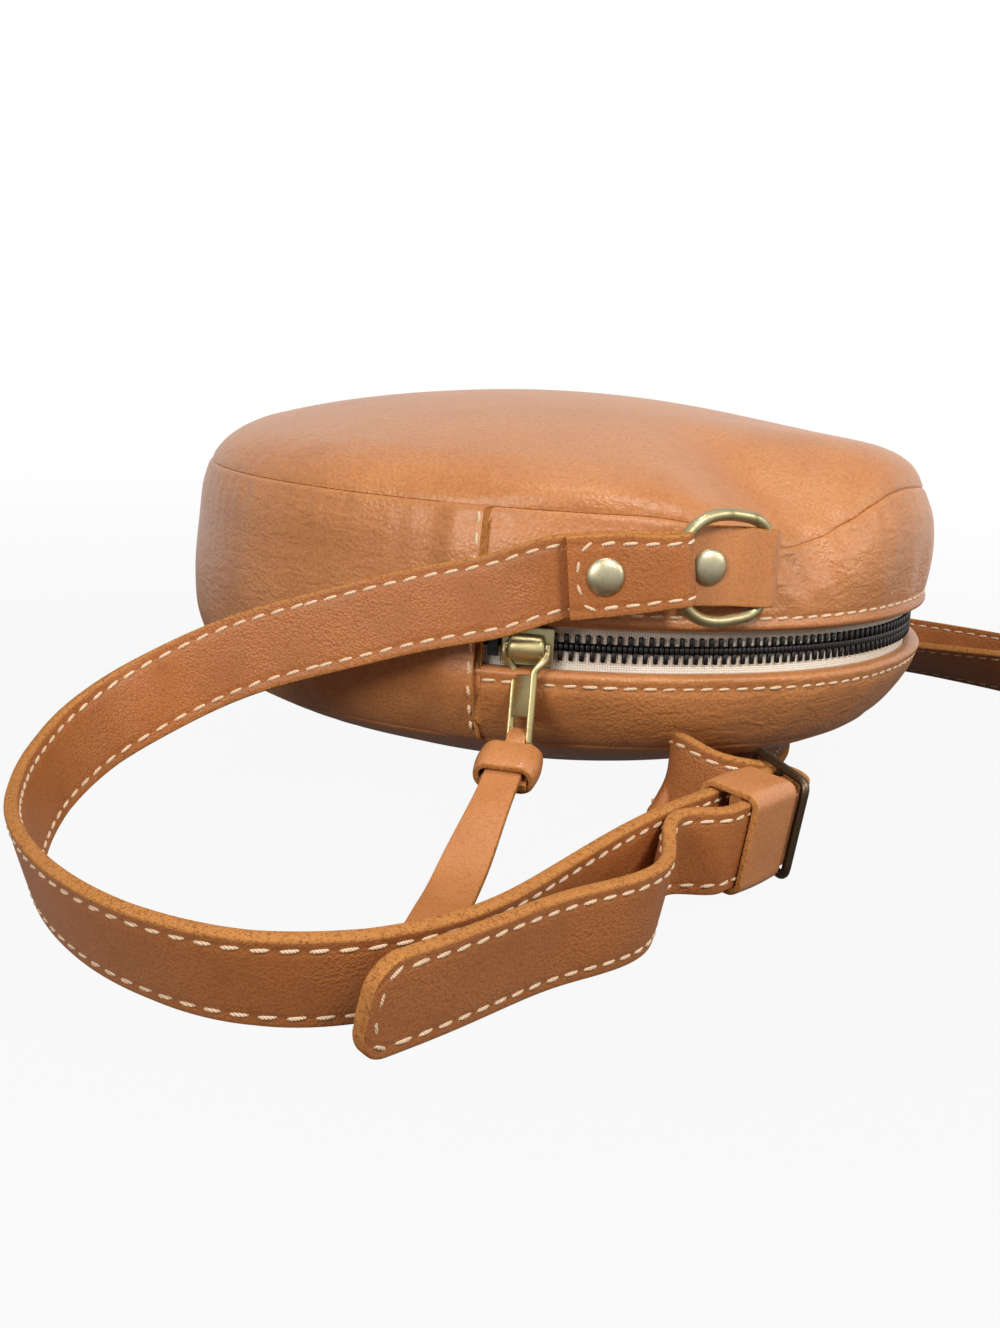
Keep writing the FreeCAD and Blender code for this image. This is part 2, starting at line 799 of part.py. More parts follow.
# Frame of the joint between the straps: x along the straps, y to their back, z across their width
joint_along = heading_vector(joint_heading, 0)
joint_across = width_axis(joint_along, joint_lean)
joint_back = joint_across.cross(joint_along)
buckle_half = strap_width / 2 + buckle_room + buckle_wire
loop_offset = buckle_bar_radius + bar_clearance + strap_thickness / 2
front_layer = -loop_offset - strap_thickness - ply_gap
keeper_low = front_layer - strap_thickness / 2 - keeper_room
keeper_high = loop_offset + strap_thickness / 2 + keeper_room
front_edge = buckle_depth * math.cos(math.radians(buckle_turn)) + buckle_wire
joint_height = (
    buckle_half * math.cos(math.radians(joint_lean))
    + front_edge * math.sin(math.radians(joint_lean))
    + stand_gap
)
joint_origin = Vector(joint_place_shares[0] * bag_radius, joint_place_shares[1] * bag_radius, joint_height)


def joint_point(x, y, z):
    """Point in the frame of the straps' joint."""
    return joint_origin + joint_along * x + joint_back * y + joint_across * z


def at_joint(shape):
    """Puts a piece drawn in the frame of the straps' joint in its place."""
    copy = shape.copy()
    a, b, c, o = joint_along, joint_back, joint_across, joint_origin
    copy.transformShape(FreeCAD.Matrix(
        a.x, b.x, c.x, o.x,
        a.y, b.y, c.y, o.y,
        a.z, b.z, c.z, o.z,
        0, 0, 0, 1,
    ))
    return copy


def left_strap():
    """Strap from the left ring, round its loop on the surface, to its sewn loop on the buckle's bar."""
    place, along, outward, across = leaving(left_anchor_angle, False, left_leave_heading, left_leave_slope)
    fold = ring_fold(place, along, outward, left_leave_slope)
    points = route_points(left_strap_route_shares)
    axes = route_axes(points, left_strap_route_shares)
    points = [fold[-1]] + points
    points += [joint_point(0, loop_offset, 0), joint_point(keeper_setback, loop_offset, 0)]
    axes = [across] + axes + [joint_across, joint_across]
    middle, turns = along_spline(points, axes, 2)
    bar = joint_point(buckle_reach, 0, 0)
    loop = half_turn(bar, joint_along, joint_back, loop_offset)
    end = [joint_point(keeper_setback + keeper_wall, -loop_offset, 0)]
    path = fold[:-1] + middle + loop + end
    axes = [across] * (len(fold) - 1) + turns + [joint_across] * (len(loop) + len(end))
    strap = ribbon(path, axes, [strap_width] * len(path), strap_thickness)
    return strap.cut(strap_hole(place, along, outward))


def right_strap():
    """Strap from the right ring, under the bag's rim and round the buckle, to its free rounded tail."""
    place, along, outward, across = leaving(right_anchor_angle, True, right_leave_heading, right_leave_slope)
    fold = ring_fold(place, along, outward, right_leave_slope)
    points = route_points(right_strap_route_shares)
    axes = route_axes(points, right_strap_route_shares)
    loop = []
    for index in range(bend_steps + 1):
        turn = math.radians(bend_start - (bend_start + 90) * index / bend_steps)
        x = buckle_reach - front_layer * math.cos(turn)
        loop.append(joint_point(x, -front_layer * math.sin(turn), 0))
    entry = [
        joint_point(buckle_reach + x * strap_width, y * strap_width, 0) for x, y in buckle_entry_shares
    ]
    points = [fold[-1]] + points + entry + loop[:1]
    axes = [across] + axes + [joint_across] * (len(entry) + 1)
    middle, turns = along_spline(points, axes, 2)
    tail = route_points(tail_route_shares)
    tail_axes = route_axes(tail, tail_route_shares)
    tail = [joint_point(keeper_setback, front_layer, 0), joint_point(0, front_layer, 0)] + tail
    tail_axes = [joint_across, joint_across] + [axis * (1 if axis.z > 0 else -1) for axis in tail_axes]
    tail_path, tail_turns = along_spline(tail, tail_axes, 2)
    path = fold[:-1] + middle + loop[1:] + tail_path
    axes = [across] * (len(fold) - 1) + turns + [joint_across] * (len(loop) - 1) + tail_turns
    widths = [strap_width] * len(path)
    tip = path[-1]
    ahead = path[-1] - path[-2]
    ahead.normalize()
    for turn in tail_round_angles:
        reach = tail_round * math.sin(math.radians(turn))
        path.append(tip + ahead * reach)
        axes.append(axes[-1])
        widths.append(strap_width - 2 * tail_round * (1 - math.cos(math.radians(turn))))
    strap = ribbon(path, axes, widths, strap_thickness)
    return strap.cut(strap_hole(place, along, outward))


def strap_hole(place, along, outward):
    """Rivet hole through both layers of a strap's folded end."""
    reach = 2 * (strap_thickness + ply_gap)
    centre = place + along * (fold_length - fold_rivet) - outward * reach
    return Part.makeCylinder(rivet_post_radius + rivet_gap, 2 * reach, centre, outward)


def strap_rivet(angle, flip, heading, slope):
    """Rivet through the folded end of a strap."""
    place, along, outward, across = leaving(angle, flip, heading, slope)
    seat = strap_thickness + ply_gap / 2
    piece = rivet(0, seat, -seat)
    side = across.cross(outward)
    centre = place + along * (fold_length - fold_rivet)
    piece.transformShape(FreeCAD.Matrix(
        side.x, -outward.x, across.x, centre.x,
        side.y, -outward.y, across.y, centre.y,
        side.z, -outward.z, across.z, centre.z,
        0, 0, 0, 1,
    ))
    return piece


def strap_keeper():
    """Leather loop that holds the sewn end and the free tail together."""
    half = strap_width / 2 + keeper_room
    inner = block(
        Vector(keeper_setback - keeper_wall, keeper_low, -half),
        Vector(keeper_setback + keeper_length + keeper_wall, keeper_high, half),
    )
    wall = Vector(0, keeper_wall, keeper_wall)
    outer = block(
        Vector(keeper_setback, keeper_low, -half) - wall,
        Vector(keeper_setback + keeper_length, keeper_high, half) + wall,
    )
    return at_joint(outer.cut(inner))


def strap_buckle():
    """Rectangular slide with a round centre bar, turned a little across the straps."""
    half_wire = buckle_wire / 2
    opening = buckle_half - buckle_wire
    frame = block(
        Vector(-half_wire, -buckle_depth - half_wire, -buckle_half),
        Vector(half_wire, buckle_depth + half_wire, buckle_half),
    )
    window = block(
        Vector(-buckle_wire, -buckle_depth + half_wire, -opening),
        Vector(buckle_wire, buckle_depth - half_wire, opening),
    )
    bar_length = 2 * opening + buckle_wire
    bar = Part.makeCylinder(buckle_bar_radius, bar_length, Vector(0, 0, -opening - half_wire), UP)
    buckle = frame.cut(window).fuse(bar).removeSplitter()
    buckle.rotate(CENTRE, UP, -buckle_turn)
    buckle.translate(Vector(buckle_reach, 0, 0))
    return at_joint(buckle)


def tab_frame():
    """Place of the pull's foot bar, the tab's falling direction and its width direction."""
    foot = Part.Vertex(Vector(0, 0, -tab_bar_place))
    place = hung(foot).Point
    heading = slider_angle - 90 + tab_heading
    along = heading_vector(heading, tab_slope)
    across = along.cross(UP)
    across.normalize()
    return place, along, across


def pull_tab():
    """Leather tab looped through the pull's window, its short layer held by the band."""
    place, along, across = tab_frame()
    offset = pull_window_bar / 2 + tab_gap + tab_leather / 2
    layer = (tab_leather + ply_gap) / 2
    normal = across.cross(along)
    normal = normal if normal.z > 0 else normal * -1
    start = place + along * tab_short_layer - normal * layer
    under = [start, place + along * band_setback - normal * layer]
    turn_slack = tab_neck_width / 2 * math.tan(math.radians(abs(tab_heading)))
    loop_end = place + along * (turn_slack + pull_window_bar / 2)
    fold = [loop_end - normal * offset]
    fold += half_turn(place - along * turn_slack, along * -1, normal * -1, offset)
    fold += [loop_end + normal * offset]
    rest = place + along * tab_tail_length + normal * layer
    level = Vector(along.x, along.y, 0)
    level.normalize()
    over = [place + along * band_setback + normal * layer, rest, rest + level * tab_rest_length]
    path = under + fold + over
    widths = [tab_width] * len(under) + [tab_neck_width] * len(fold) + [tab_width] * len(over)
    return ribbon(path, [across] * len(path), widths, tab_leather)


def pull_tab_band():
    """Leather band wrapped round both layers of the tab."""
    place, along, across = tab_frame()
    normal = across.cross(along)
    normal = normal if normal.z > 0 else normal * -1
    half_width = tab_width / 2 + tab_gap
    half_depth = tab_leather + ply_gap
    inner = block(
        Vector(band_setback - band_wall, -half_width, -half_depth),
        Vector(band_setback + band_height + band_wall, half_width, half_depth),
    )
    wall = Vector(0, band_wall, band_wall)
    outer = block(
        Vector(band_setback, -half_width, -half_depth) - wall,
        Vector(band_setback + band_height, half_width, half_depth) + wall,
    )
    band = outer.cut(inner)
    side = normal.cross(along)
    band.transformShape(FreeCAD.Matrix(
        along.x, side.x, normal.x, place.x,
        along.y, side.y, normal.y, place.y,
        along.z, side.z, normal.z, place.z,
        0, 0, 0, 1,
    ))
    return band


front_strip, back_strip = zip_strips()
for anchor_angle, mirror_side in ((left_anchor_angle, False), (right_anchor_angle, True)):
    hole = Part.makeCylinder(
        rivet_post_radius + rivet_gap,
        4 * leather,
        Vector(-anchor_rivet_reach, 2 * leather, 0),
        Vector(0, -1, 0),
    )
    front_strip = front_strip.cut(seated(hole, anchor_angle, mirror_side))

parts = {
    "front_panel": front_panel(),
    "back_panel": back_panel(),
    "base_gusset": base_gusset(),
    "zip_strip_front": front_strip,
    "zip_strip_back": back_strip,
    "zip_tape_front": zip_tape(1),
    "zip_tape_back": zip_tape(-1),
    "zip_teeth_front": zip_teeth(1),
    "zip_teeth_back": zip_teeth(-1),
    "zip_stops": zip_stops(),
    "zip_slider": zip_slider(),
    "zip_pull": zip_pull(),
    "pull_tab": pull_tab(),
    "pull_tab_band": pull_tab_band(),
    "left_anchor_tab": anchor_tab(left_anchor_angle, False),
    "right_anchor_tab": anchor_tab(right_anchor_angle, True),
    "left_anchor_rivet": anchor_rivet(left_anchor_angle, False),
    "right_anchor_rivet": anchor_rivet(right_anchor_angle, True),
    "left_d_ring": d_ring(left_anchor_angle, False),
    "right_d_ring": d_ring(right_anchor_angle, True),
    "left_strap": left_strap(),
    "right_strap": right_strap(),
    "left_strap_rivet": strap_rivet(left_anchor_angle, False, left_leave_heading, left_leave_slope),
    "right_strap_rivet": strap_rivet(right_anchor_angle, True, right_leave_heading, right_leave_slope),
    "strap_keeper": strap_keeper(),
    "strap_buckle": strap_buckle(),
}

os.makedirs("parts", exist_ok=True)
for name, shape in parts.items():
    shape.exportStep(f"parts/{name}.step")
    box = shape.BoundBox
    print(f"{name}: {len(shape.Solids)} solids, {shape.Volume / 1000:.2f} cm3, valid {shape.isValid()},"
          f" x {box.XMin:.1f} {box.XMax:.1f}, y {box.YMin:.1f} {box.YMax:.1f},"
          f" z {box.ZMin:.2f} {box.ZMax:.2f}")
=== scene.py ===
# %% [markdown]
# # A round leather bag that lies on its back
# The bag is a low drum of tan leather with a zip round half of its wall and one long strap. The packed
# construction comes in first as a fixed frame. Each piece made below stands for a plain solid of that frame
# and rides on the body that carries it.

# %% Load the frame
import math

import bmesh
import bpy
import numpy as np
from mathutils import Matrix, Vector


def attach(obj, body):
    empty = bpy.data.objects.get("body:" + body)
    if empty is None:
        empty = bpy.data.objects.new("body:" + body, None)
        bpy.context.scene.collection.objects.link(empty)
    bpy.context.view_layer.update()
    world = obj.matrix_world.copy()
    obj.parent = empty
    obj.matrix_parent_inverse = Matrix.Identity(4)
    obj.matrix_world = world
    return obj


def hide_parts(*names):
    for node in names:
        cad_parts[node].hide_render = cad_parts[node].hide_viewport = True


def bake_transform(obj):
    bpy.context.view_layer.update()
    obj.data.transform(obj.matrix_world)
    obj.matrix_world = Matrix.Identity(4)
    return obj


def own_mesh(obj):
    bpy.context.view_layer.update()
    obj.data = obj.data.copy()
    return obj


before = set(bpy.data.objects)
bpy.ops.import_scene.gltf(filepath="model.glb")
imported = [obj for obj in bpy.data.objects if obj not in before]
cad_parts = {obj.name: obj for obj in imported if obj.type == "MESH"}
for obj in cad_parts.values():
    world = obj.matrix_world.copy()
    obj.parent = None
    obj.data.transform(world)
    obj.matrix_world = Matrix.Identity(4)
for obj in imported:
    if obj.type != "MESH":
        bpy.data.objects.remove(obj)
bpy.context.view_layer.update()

# %% [markdown]
# ## Rings of points and finished meshes
# Nearly every piece is a sheet of leather or a bent wire, so nearly every mesh is a grid: a closed section
# repeated along a path. Numpy writes all the points of a grid at once, in millimetres, and one function turns
# them into a mesh in metres with its faces pointing outwards.

# %% Measures and waves
MM = 0.001
UP = np.array((0.0, 0.0, 1.0))


def polar(radius, angle, z):
    """Points round the bag; angles in degrees, counted from the front towards the right."""
    turn = np.radians(angle)
    return np.stack(np.broadcast_arrays(radius * np.sin(turn), -radius * np.cos(turn), z), axis=-1)


def unit(vectors):
    """Vectors of length one."""
    vectors = np.asarray(vectors, dtype=float)
    return vectors / np.linalg.norm(vectors, axis=-1, keepdims=True)


def ease(value, low, high):
    """Smooth step from 0 at low to 1 at high."""
    t = np.clip((value - low) / (high - low), 0.0, 1.0)
    return t * t * (3.0 - 2.0 * t)


def between(value, rise, fall):
    """1 between two stretches: it rises from 0 over the first and falls back over the second."""
    return ease(value, *rise) - ease(value, *fall)


def hill(value, middle, width):
    """Smooth hump of height 1."""
    return np.exp(-((value - middle) / width) ** 2)


def ripple(angle, counts, seed):
    """Irregular ripple round the bag, between about -1 and 1, made of whole waves."""
    random = np.random.default_rng(seed)
    turn = np.radians(angle)
    waves = [np.sin(count * turn + random.uniform(0, math.tau)) for count in counts]
    return sum(waves) / math.sqrt(len(counts))


print("one unit of the script is", MM, "m")

# %% Meshes
sharp_turn = math.radians(50.0)
merge_distance = 1e-7


def ring_quads(rings, columns, closed=False):
    """Corner numbers of the faces between closed rings of points that are numbered ring by ring."""
    index = np.arange(rings * columns).reshape(rings, columns)
    index = np.hstack([index, index[:, :1]])
    if closed:
        index = np.vstack([index, index[:1]])
    quads = np.stack([index[:-1, :-1], index[:-1, 1:], index[1:, 1:], index[1:, :-1]], axis=-1)
    return quads.reshape(-1, 4).tolist()


def tube_faces(rings, columns, closed=False):
    """Faces between rings of points, with a cap at both ends unless the tube closes on itself."""
    faces = ring_quads(rings, columns, closed)
    if not closed:
        last = (rings - 1) * columns
        faces += [list(range(columns)), list(range(last, last + columns))]
    return faces


def new_object(name, mesh):
    """Links a mesh to the scene as an object at the origin."""
    thing = bpy.data.objects.new(name, mesh)
    bpy.context.collection.objects.link(thing)
    return thing


def smoothed(shape):
    """Smooth faces in a bmesh, with its sharp edges kept sharp."""
    for face in shape.faces:
        face.smooth = True
    for edge in shape.edges:
        edge.smooth = edge.calc_face_angle(0.0) < sharp_turn


def new_piece(name, points, faces, materials, face_slots=None, attributes=None):
    """Mesh object from points in millimetres, smooth, with its doubles merged and its faces outwards."""
    mesh = bpy.data.meshes.new(name)
    points = np.asarray(points, dtype=float).reshape(-1, 3) * MM
    mesh.from_pydata(points.tolist(), [], faces)
    for material in materials:
        mesh.materials.append(material)
    if face_slots is not None:
        mesh.polygons.foreach_set("material_index", np.asarray(face_slots, dtype=np.int32))
    for key, values in (attributes or {}).items():
        layer = mesh.attributes.new(key, "FLOAT", "POINT")
        layer.data.foreach_set("value", np.asarray(values, dtype=np.float32).ravel())
    shape = bmesh.new()
    shape.from_mesh(mesh)
    bmesh.ops.remove_doubles(shape, verts=shape.verts, dist=merge_distance)
    bmesh.ops.recalc_face_normals(shape, faces=shape.faces)
    smoothed(shape)
    shape.to_mesh(mesh)
    shape.free()
    return new_object(name, mesh)


def finished(thing):
    """Turns an object's modifiers into a plain mesh."""
    view = bpy.context.evaluated_depsgraph_get()
    mesh = bpy.data.meshes.new_from_object(thing.evaluated_get(view))
    thing.modifiers.clear()
    thing.data = mesh
    return thing


def joined(name, things):
    """One object from several that share a body."""
    shape = bmesh.new()
    materials = []
    for thing in things:
        start = len(shape.faces)
        shape.from_mesh(thing.data)
        shape.faces.ensure_lookup_table()
        own = list(thing.data.materials)
        for face in shape.faces[start:]:
            material = own[min(face.material_index, len(own) - 1)]
            if material not in materials:
                materials.append(material)
            face.material_index = materials.index(material)
    mesh = bpy.data.meshes.new(name)
    shape.to_mesh(mesh)
    shape.free()
    for material in materials:
        mesh.materials.append(material)
    for thing in things:
        bpy.data.objects.remove(thing)
    return new_object(name, mesh)


def carried(thing, body, slot, *nodes):
    """Rides a piece on its body and hides the solids that it stands for; its slot is not used."""
    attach(thing, body)
    if nodes:
        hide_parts(*nodes)
    print(thing.name, "on", body, "with", len(thing.data.polygons), "faces")
    return thing


print("edges stay sharp from", round(math.degrees(sharp_turn)), "degrees")

# %% [markdown]
# ## Camera, light and floor
# The photograph was taken from close by and a little above the zip, with the camera slightly rolled. Its
# place comes from the sizes of the bag: with this focal length and this place the seams and the zip end fall
# on their pixels. The light is a soft lamp from the upper right, a small one above that draws a faint shine
# along the front seam, and a wide one on each side. The floor is plain and pale and keeps the bag's shadow;
# what metal and leather reflect of it carries a painted shadow, darker near the bag.

# %% Camera
photo_height_pixels = 1328
focal_pixels = 1650
sensor_mm = 36.0
nearest_seen = 0.01
camera_place = np.array((-6.3, -464.0, 110.5))
camera_pitch, camera_yaw, camera_roll = math.radians(11.3), math.radians(-1.1), math.radians(3.6)

ahead = np.array((
    math.sin(camera_yaw) * math.cos(camera_pitch),
    math.cos(camera_yaw) * math.cos(camera_pitch),
    -math.sin(camera_pitch),
))
level_right = np.array((math.cos(camera_yaw), -math.sin(camera_yaw), 0.0))
level_up = np.cross(level_right, ahead)
camera_right = math.cos(camera_roll) * level_right + math.sin(camera_roll) * level_up
camera_up = math.cos(camera_roll) * level_up - math.sin(camera_roll) * level_right

camera = bpy.data.objects.new("camera", bpy.data.cameras.new("camera"))
bpy.context.collection.objects.link(camera)
camera.data.sensor_width = sensor_mm
camera.data.lens = focal_pixels / photo_height_pixels * sensor_mm
camera.data.clip_start = nearest_seen
turned = np.eye(4)
turned[:3, :3] = np.stack([camera_right, camera_up, -ahead], axis=1)
turned[:3, 3] = camera_place * MM
camera.matrix_world = Matrix(turned.tolist())
bpy.context.scene.camera = camera
bpy.context.scene.view_settings.view_transform = "Standard"
print("lens", round(camera.data.lens, 2), "mm")

# %% Lamps
lamp_tint = (1.0, 0.95, 0.88)


def soft_lamp(name, place, aim, size, power):
    """Round lamp at a place in metres, turned to its aim."""
    lamp = bpy.data.lights.new(name, "AREA")
    lamp.shape = "DISK"
    lamp.size = size
    lamp.energy = power
    lamp.color = lamp_tint
    thing = bpy.data.objects.new(name, lamp)
    thing.location = place
    thing.rotation_euler = (Vector(aim) - Vector(place)).to_track_quat("-Z", "Y").to_euler()
    bpy.context.collection.objects.link(thing)


soft_lamp("key_lamp", place=(0.42, -0.74, 0.74), aim=(0.02, 0.0, 0.05), size=0.24, power=7.0)
soft_lamp("top_lamp", place=(0.03, -0.16, 0.95), aim=(0.0, -0.08, 0.06), size=0.13, power=1.8)
soft_lamp("right_lamp", place=(0.95, -0.3, 0.5), aim=(0.02, 0.0, 0.05), size=0.4, power=3.0)
soft_lamp("left_lamp", place=(-0.55, -1.0, 0.45), aim=(0.0, -0.1, 0.05), size=0.4, power=7.2)
print("lamps:", len(bpy.data.lights))

# %% World
world_light = 0.2
world_tint = (1.0, 0.93, 0.84, 1.0)
background_white = (1.0, 1.0, 1.0, 1.0)


def node(tree, kind, settings=None, values=None, links=None):
    """Adds a node, sets it and its sockets, and links outputs into it."""
    thing = tree.nodes.new(kind)
    for key, value in (settings or {}).items():
        setattr(thing, key, value)
    for key, value in (values or {}).items():
        thing.inputs[key].default_value = value
    for key, output in (links or {}).items():
        tree.links.new(output, thing.inputs[key])
    return thing


def math_node(tree, operation, first, second):
    """Math node whose inputs are outputs of other nodes or plain numbers."""
    thing = tree.nodes.new("ShaderNodeMath")
    thing.operation = operation
    for index, value in enumerate((first, second)):
        if isinstance(value, (int, float)):
            thing.inputs[index].default_value = value
        else:
            tree.links.new(value, thing.inputs[index])
    return thing.outputs[0]


def seen_rays(tree):
    """Outputs that are 1 for camera rays, and for the rays that show the background in metal and glass."""
    path = tree.nodes.new("ShaderNodeLightPath").outputs
    mirrored = math_node(tree, "MAXIMUM", path["Is Glossy Ray"], path["Is Transmission Ray"])
    return path["Is Camera Ray"], mirrored


world = bpy.data.worlds.new("pale_room")
bpy.context.scene.world = world
world.use_nodes = True
world_tree = world.node_tree
room = world_tree.nodes["Background"]
room.inputs["Strength"].default_value = world_light
room.inputs["Color"].default_value = world_tint
white = node(world_tree, "ShaderNodeBackground", None, {"Color": background_white})
shown = math_node(world_tree, "MAXIMUM", *seen_rays(world_tree))
choice = node(
    world_tree, "ShaderNodeMixShader", None, None, {0: shown, 1: room.outputs[0], 2: white.outputs[0]}
)
world_tree.links.new(choice.outputs[0], world_tree.nodes["World Output"].inputs["Surface"])
print("world lights with strength", world_light)

# %% Floor
floor_half_size = 4.0
floor_tone = (0.09, 0.06, 0.04, 1.0)
floor_roughness = 0.9
seen_white = {"From Min": 0.15, "From Max": 0.8, "To Min": 0.93, "To Max": 1.0}
# Reflected rays see a painted shadow on the floor: dark near the bag, white further out.
reflected_shadow_range = {"From Min": 0.1, "From Max": 0.6, "To Min": 0.1}

floor_mesh = bpy.data.meshes.new("floor")
corner_signs = ((-1, -1), (1, -1), (1, 1), (-1, 1))
corners = [(x * floor_half_size, y * floor_half_size, 0.0) for x, y in corner_signs]
floor_mesh.from_pydata(corners, [], [(0, 1, 2, 3)])
floor = new_object("floor", floor_mesh)
floor_paint = bpy.data.materials.new("pale_floor")
floor_paint.use_nodes = True
floor_tree = floor_paint.node_tree
floor_shader = floor_tree.nodes["Principled BSDF"]
floor_shader.inputs["Base Color"].default_value = floor_tone
floor_shader.inputs["Roughness"].default_value = floor_roughness
glow = floor_tree.nodes.new("ShaderNodeEmission")
place = floor_tree.nodes.new("ShaderNodeTexCoord")
middle_place = {0: place.outputs["Object"]}
distance = node(floor_tree, "ShaderNodeVectorMath", {"operation": "LENGTH"}, None, middle_place)
from_middle = {"Value": distance.outputs["Value"]}
smooth = {"interpolation_type": "SMOOTHSTEP"}
# Painted shadow round the bag for reflected rays, taken from the distance to the floor's middle.
painted_floor_shadow = node(floor_tree, "ShaderNodeMapRange", smooth, reflected_shadow_range, from_middle)
whiter = node(floor_tree, "ShaderNodeMapRange", None, seen_white, from_middle)
camera_rays, mirrored_rays = seen_rays(floor_tree)
pale = math_node(floor_tree, "MULTIPLY", camera_rays, whiter.outputs["Result"])
mirrored = math_node(floor_tree, "MULTIPLY", mirrored_rays, painted_floor_shadow.outputs["Result"])
floor_mix = node(
    floor_tree, "ShaderNodeMixShader", None, None,
    {0: math_node(floor_tree, "MAXIMUM", pale, mirrored), 1: floor_shader.outputs[0], 2: glow.outputs[0]},
)
floor_tree.links.new(floor_mix.outputs[0], floor_tree.nodes["Material Output"].inputs["Surface"])
floor_mesh.materials.append(floor_paint)
print("floor is", 2 * floor_half_size, "m wide")

# %% [markdown]
# ## Leather, edges, thread and metal
# Leather is recognised by its grain: small pebbles with fine creases between them, a little darker in the
# valleys. One shader group makes that pattern from noise and cells and gives back a shade and a normal, so
# each leather piece can use it at its own scale. The cut edge of a strap is a second look, fibrous and
# lighter, and the fittings share a group for worn brass. All patterns read Object coordinates or the mesh's
# own attributes, so they stay on their piece.

# %% Shader groups
per_metre = 1.0 / MM


def new_group(name, inputs, outputs):
    """Empty shader group with float inputs and the named outputs."""
    group = bpy.data.node_groups.new(name, "ShaderNodeTree")
    for label, value in inputs.items():
        socket = group.interface.new_socket(label, in_out="INPUT", socket_type="NodeSocketFloat")
        socket.default_value = value
    for label, kind in outputs.items():
        group.interface.new_socket(label, in_out="OUTPUT", socket_type=kind)
    start = group.nodes.new("NodeGroupInput")
    end = group.nodes.new("NodeGroupOutput")
    return group, start, end


def smooth_range(tree, value, low, high):
    """Smooth step of a value between two limits."""
    thing = node(
        tree, "ShaderNodeMapRange", {"interpolation_type": "SMOOTHSTEP"},
        {"From Min": low, "From Max": high}, {"Value": value},
    )
    return thing.outputs["Result"]


def scaled_place(tree, factor):
    """Object coordinates times a factor."""
    place = tree.nodes.new("ShaderNodeTexCoord").outputs["Object"]
    scaled = node(tree, "ShaderNodeVectorMath", {"operation": "SCALE"}, None, {0: place})
    if isinstance(factor, (int, float)):
        scaled.inputs["Scale"].default_value = factor
    else:
        tree.links.new(factor, scaled.inputs["Scale"])
    return scaled.outputs[0]


def noise(tree, place, **values):
    """Value of a noise texture at a place; the sockets are named in small letters."""
    sockets = {key.capitalize(): value for key, value in values.items()}
    return node(tree, "ShaderNodeTexNoise", None, sockets, {"Vector": place}).outputs["Fac"]


def bumped(tree, end, height, distance, strength):
    """Normal of a shader or of a group's output, from a height."""
    values = {"Distance": distance, "Strength": strength}
    bump = node(tree, "ShaderNodeBump", None, values, {"Height": height})
    tree.links.new(bump.outputs["Normal"], end.inputs["Normal"])
    return bump


def grain_group():
    """Pebbled grain with creases: a shade from 0 in the valleys to 1, and a normal."""
    flat_share, fine_share, crease_share = 0.3, 0.35, 0.75
    valley_level, valley_share, tone_share, tone_base = 0.45, 0.5, 0.6, 0.18
    grain_height = 0.0005
    group, start, end = new_group(
        "leather_grain", {"Grain mm": 1.0, "Depth": 0.3, "Creases": 0.0},
        {"Shade": "NodeSocketFloat", "Normal": "NodeSocketVector"},
    )
    place = scaled_place(group, math_node(group, "DIVIDE", per_metre, start.outputs["Grain mm"]))
    bend = node(group, "ShaderNodeTexNoise", None, {"Scale": 0.7, "Detail": 2.0}, {"Vector": place})
    push = node(
        group, "ShaderNodeVectorMath", {"operation": "MULTIPLY_ADD"}, {1: (0.8, 0.8, 0.8)},
        {0: bend.outputs["Color"], 2: place},
    )
    pebble = node(
        group, "ShaderNodeTexVoronoi", {"feature": "SMOOTH_F1"}, {"Scale": 1.0, "Smoothness": 0.6},
        {"Vector": push.outputs[0]},
    )
    fine = noise(group, place, scale=2.6, detail=3.0)
    broad = noise(group, place, scale=0.045, detail=3.0)
    pebbles = math_node(group, "SUBTRACT", 1.0, pebble.outputs["Distance"])
    patchy = smooth_range(group, broad, 0.35, 0.7)
    raised = math_node(group, "MULTIPLY", pebbles, math_node(group, "ADD", flat_share, patchy))
    rough = math_node(group, "MULTIPLY", fine, fine_share)
    stretched = node(
        group, "ShaderNodeMapping", None, {"Rotation": (0.5, 0.35, 0.6), "Scale": (0.1, 0.12, 0.34)},
        {"Vector": place},
    )
    fold = noise(group, stretched.outputs[0], scale=1.0, detail=2.5, distortion=0.6)
    creased = math_node(group, "MULTIPLY", start.outputs["Creases"], crease_share)
    crease = math_node(group, "MULTIPLY", smooth_range(group, fold, 0.36, 0.64), creased)
    height = math_node(group, "ADD", math_node(group, "ADD", raised, rough), crease)
    bump = bumped(group, end, height, grain_height, 1.0)
    group.links.new(start.outputs["Depth"], bump.inputs["Strength"])
    valley = math_node(group, "MULTIPLY", math_node(group, "SUBTRACT", pebbles, valley_level), valley_share)
    tone = math_node(group, "ADD", math_node(group, "MULTIPLY", broad, tone_share), tone_base)
    group.links.new(math_node(group, "ADD", tone, valley), end.inputs["Shade"])
    return group


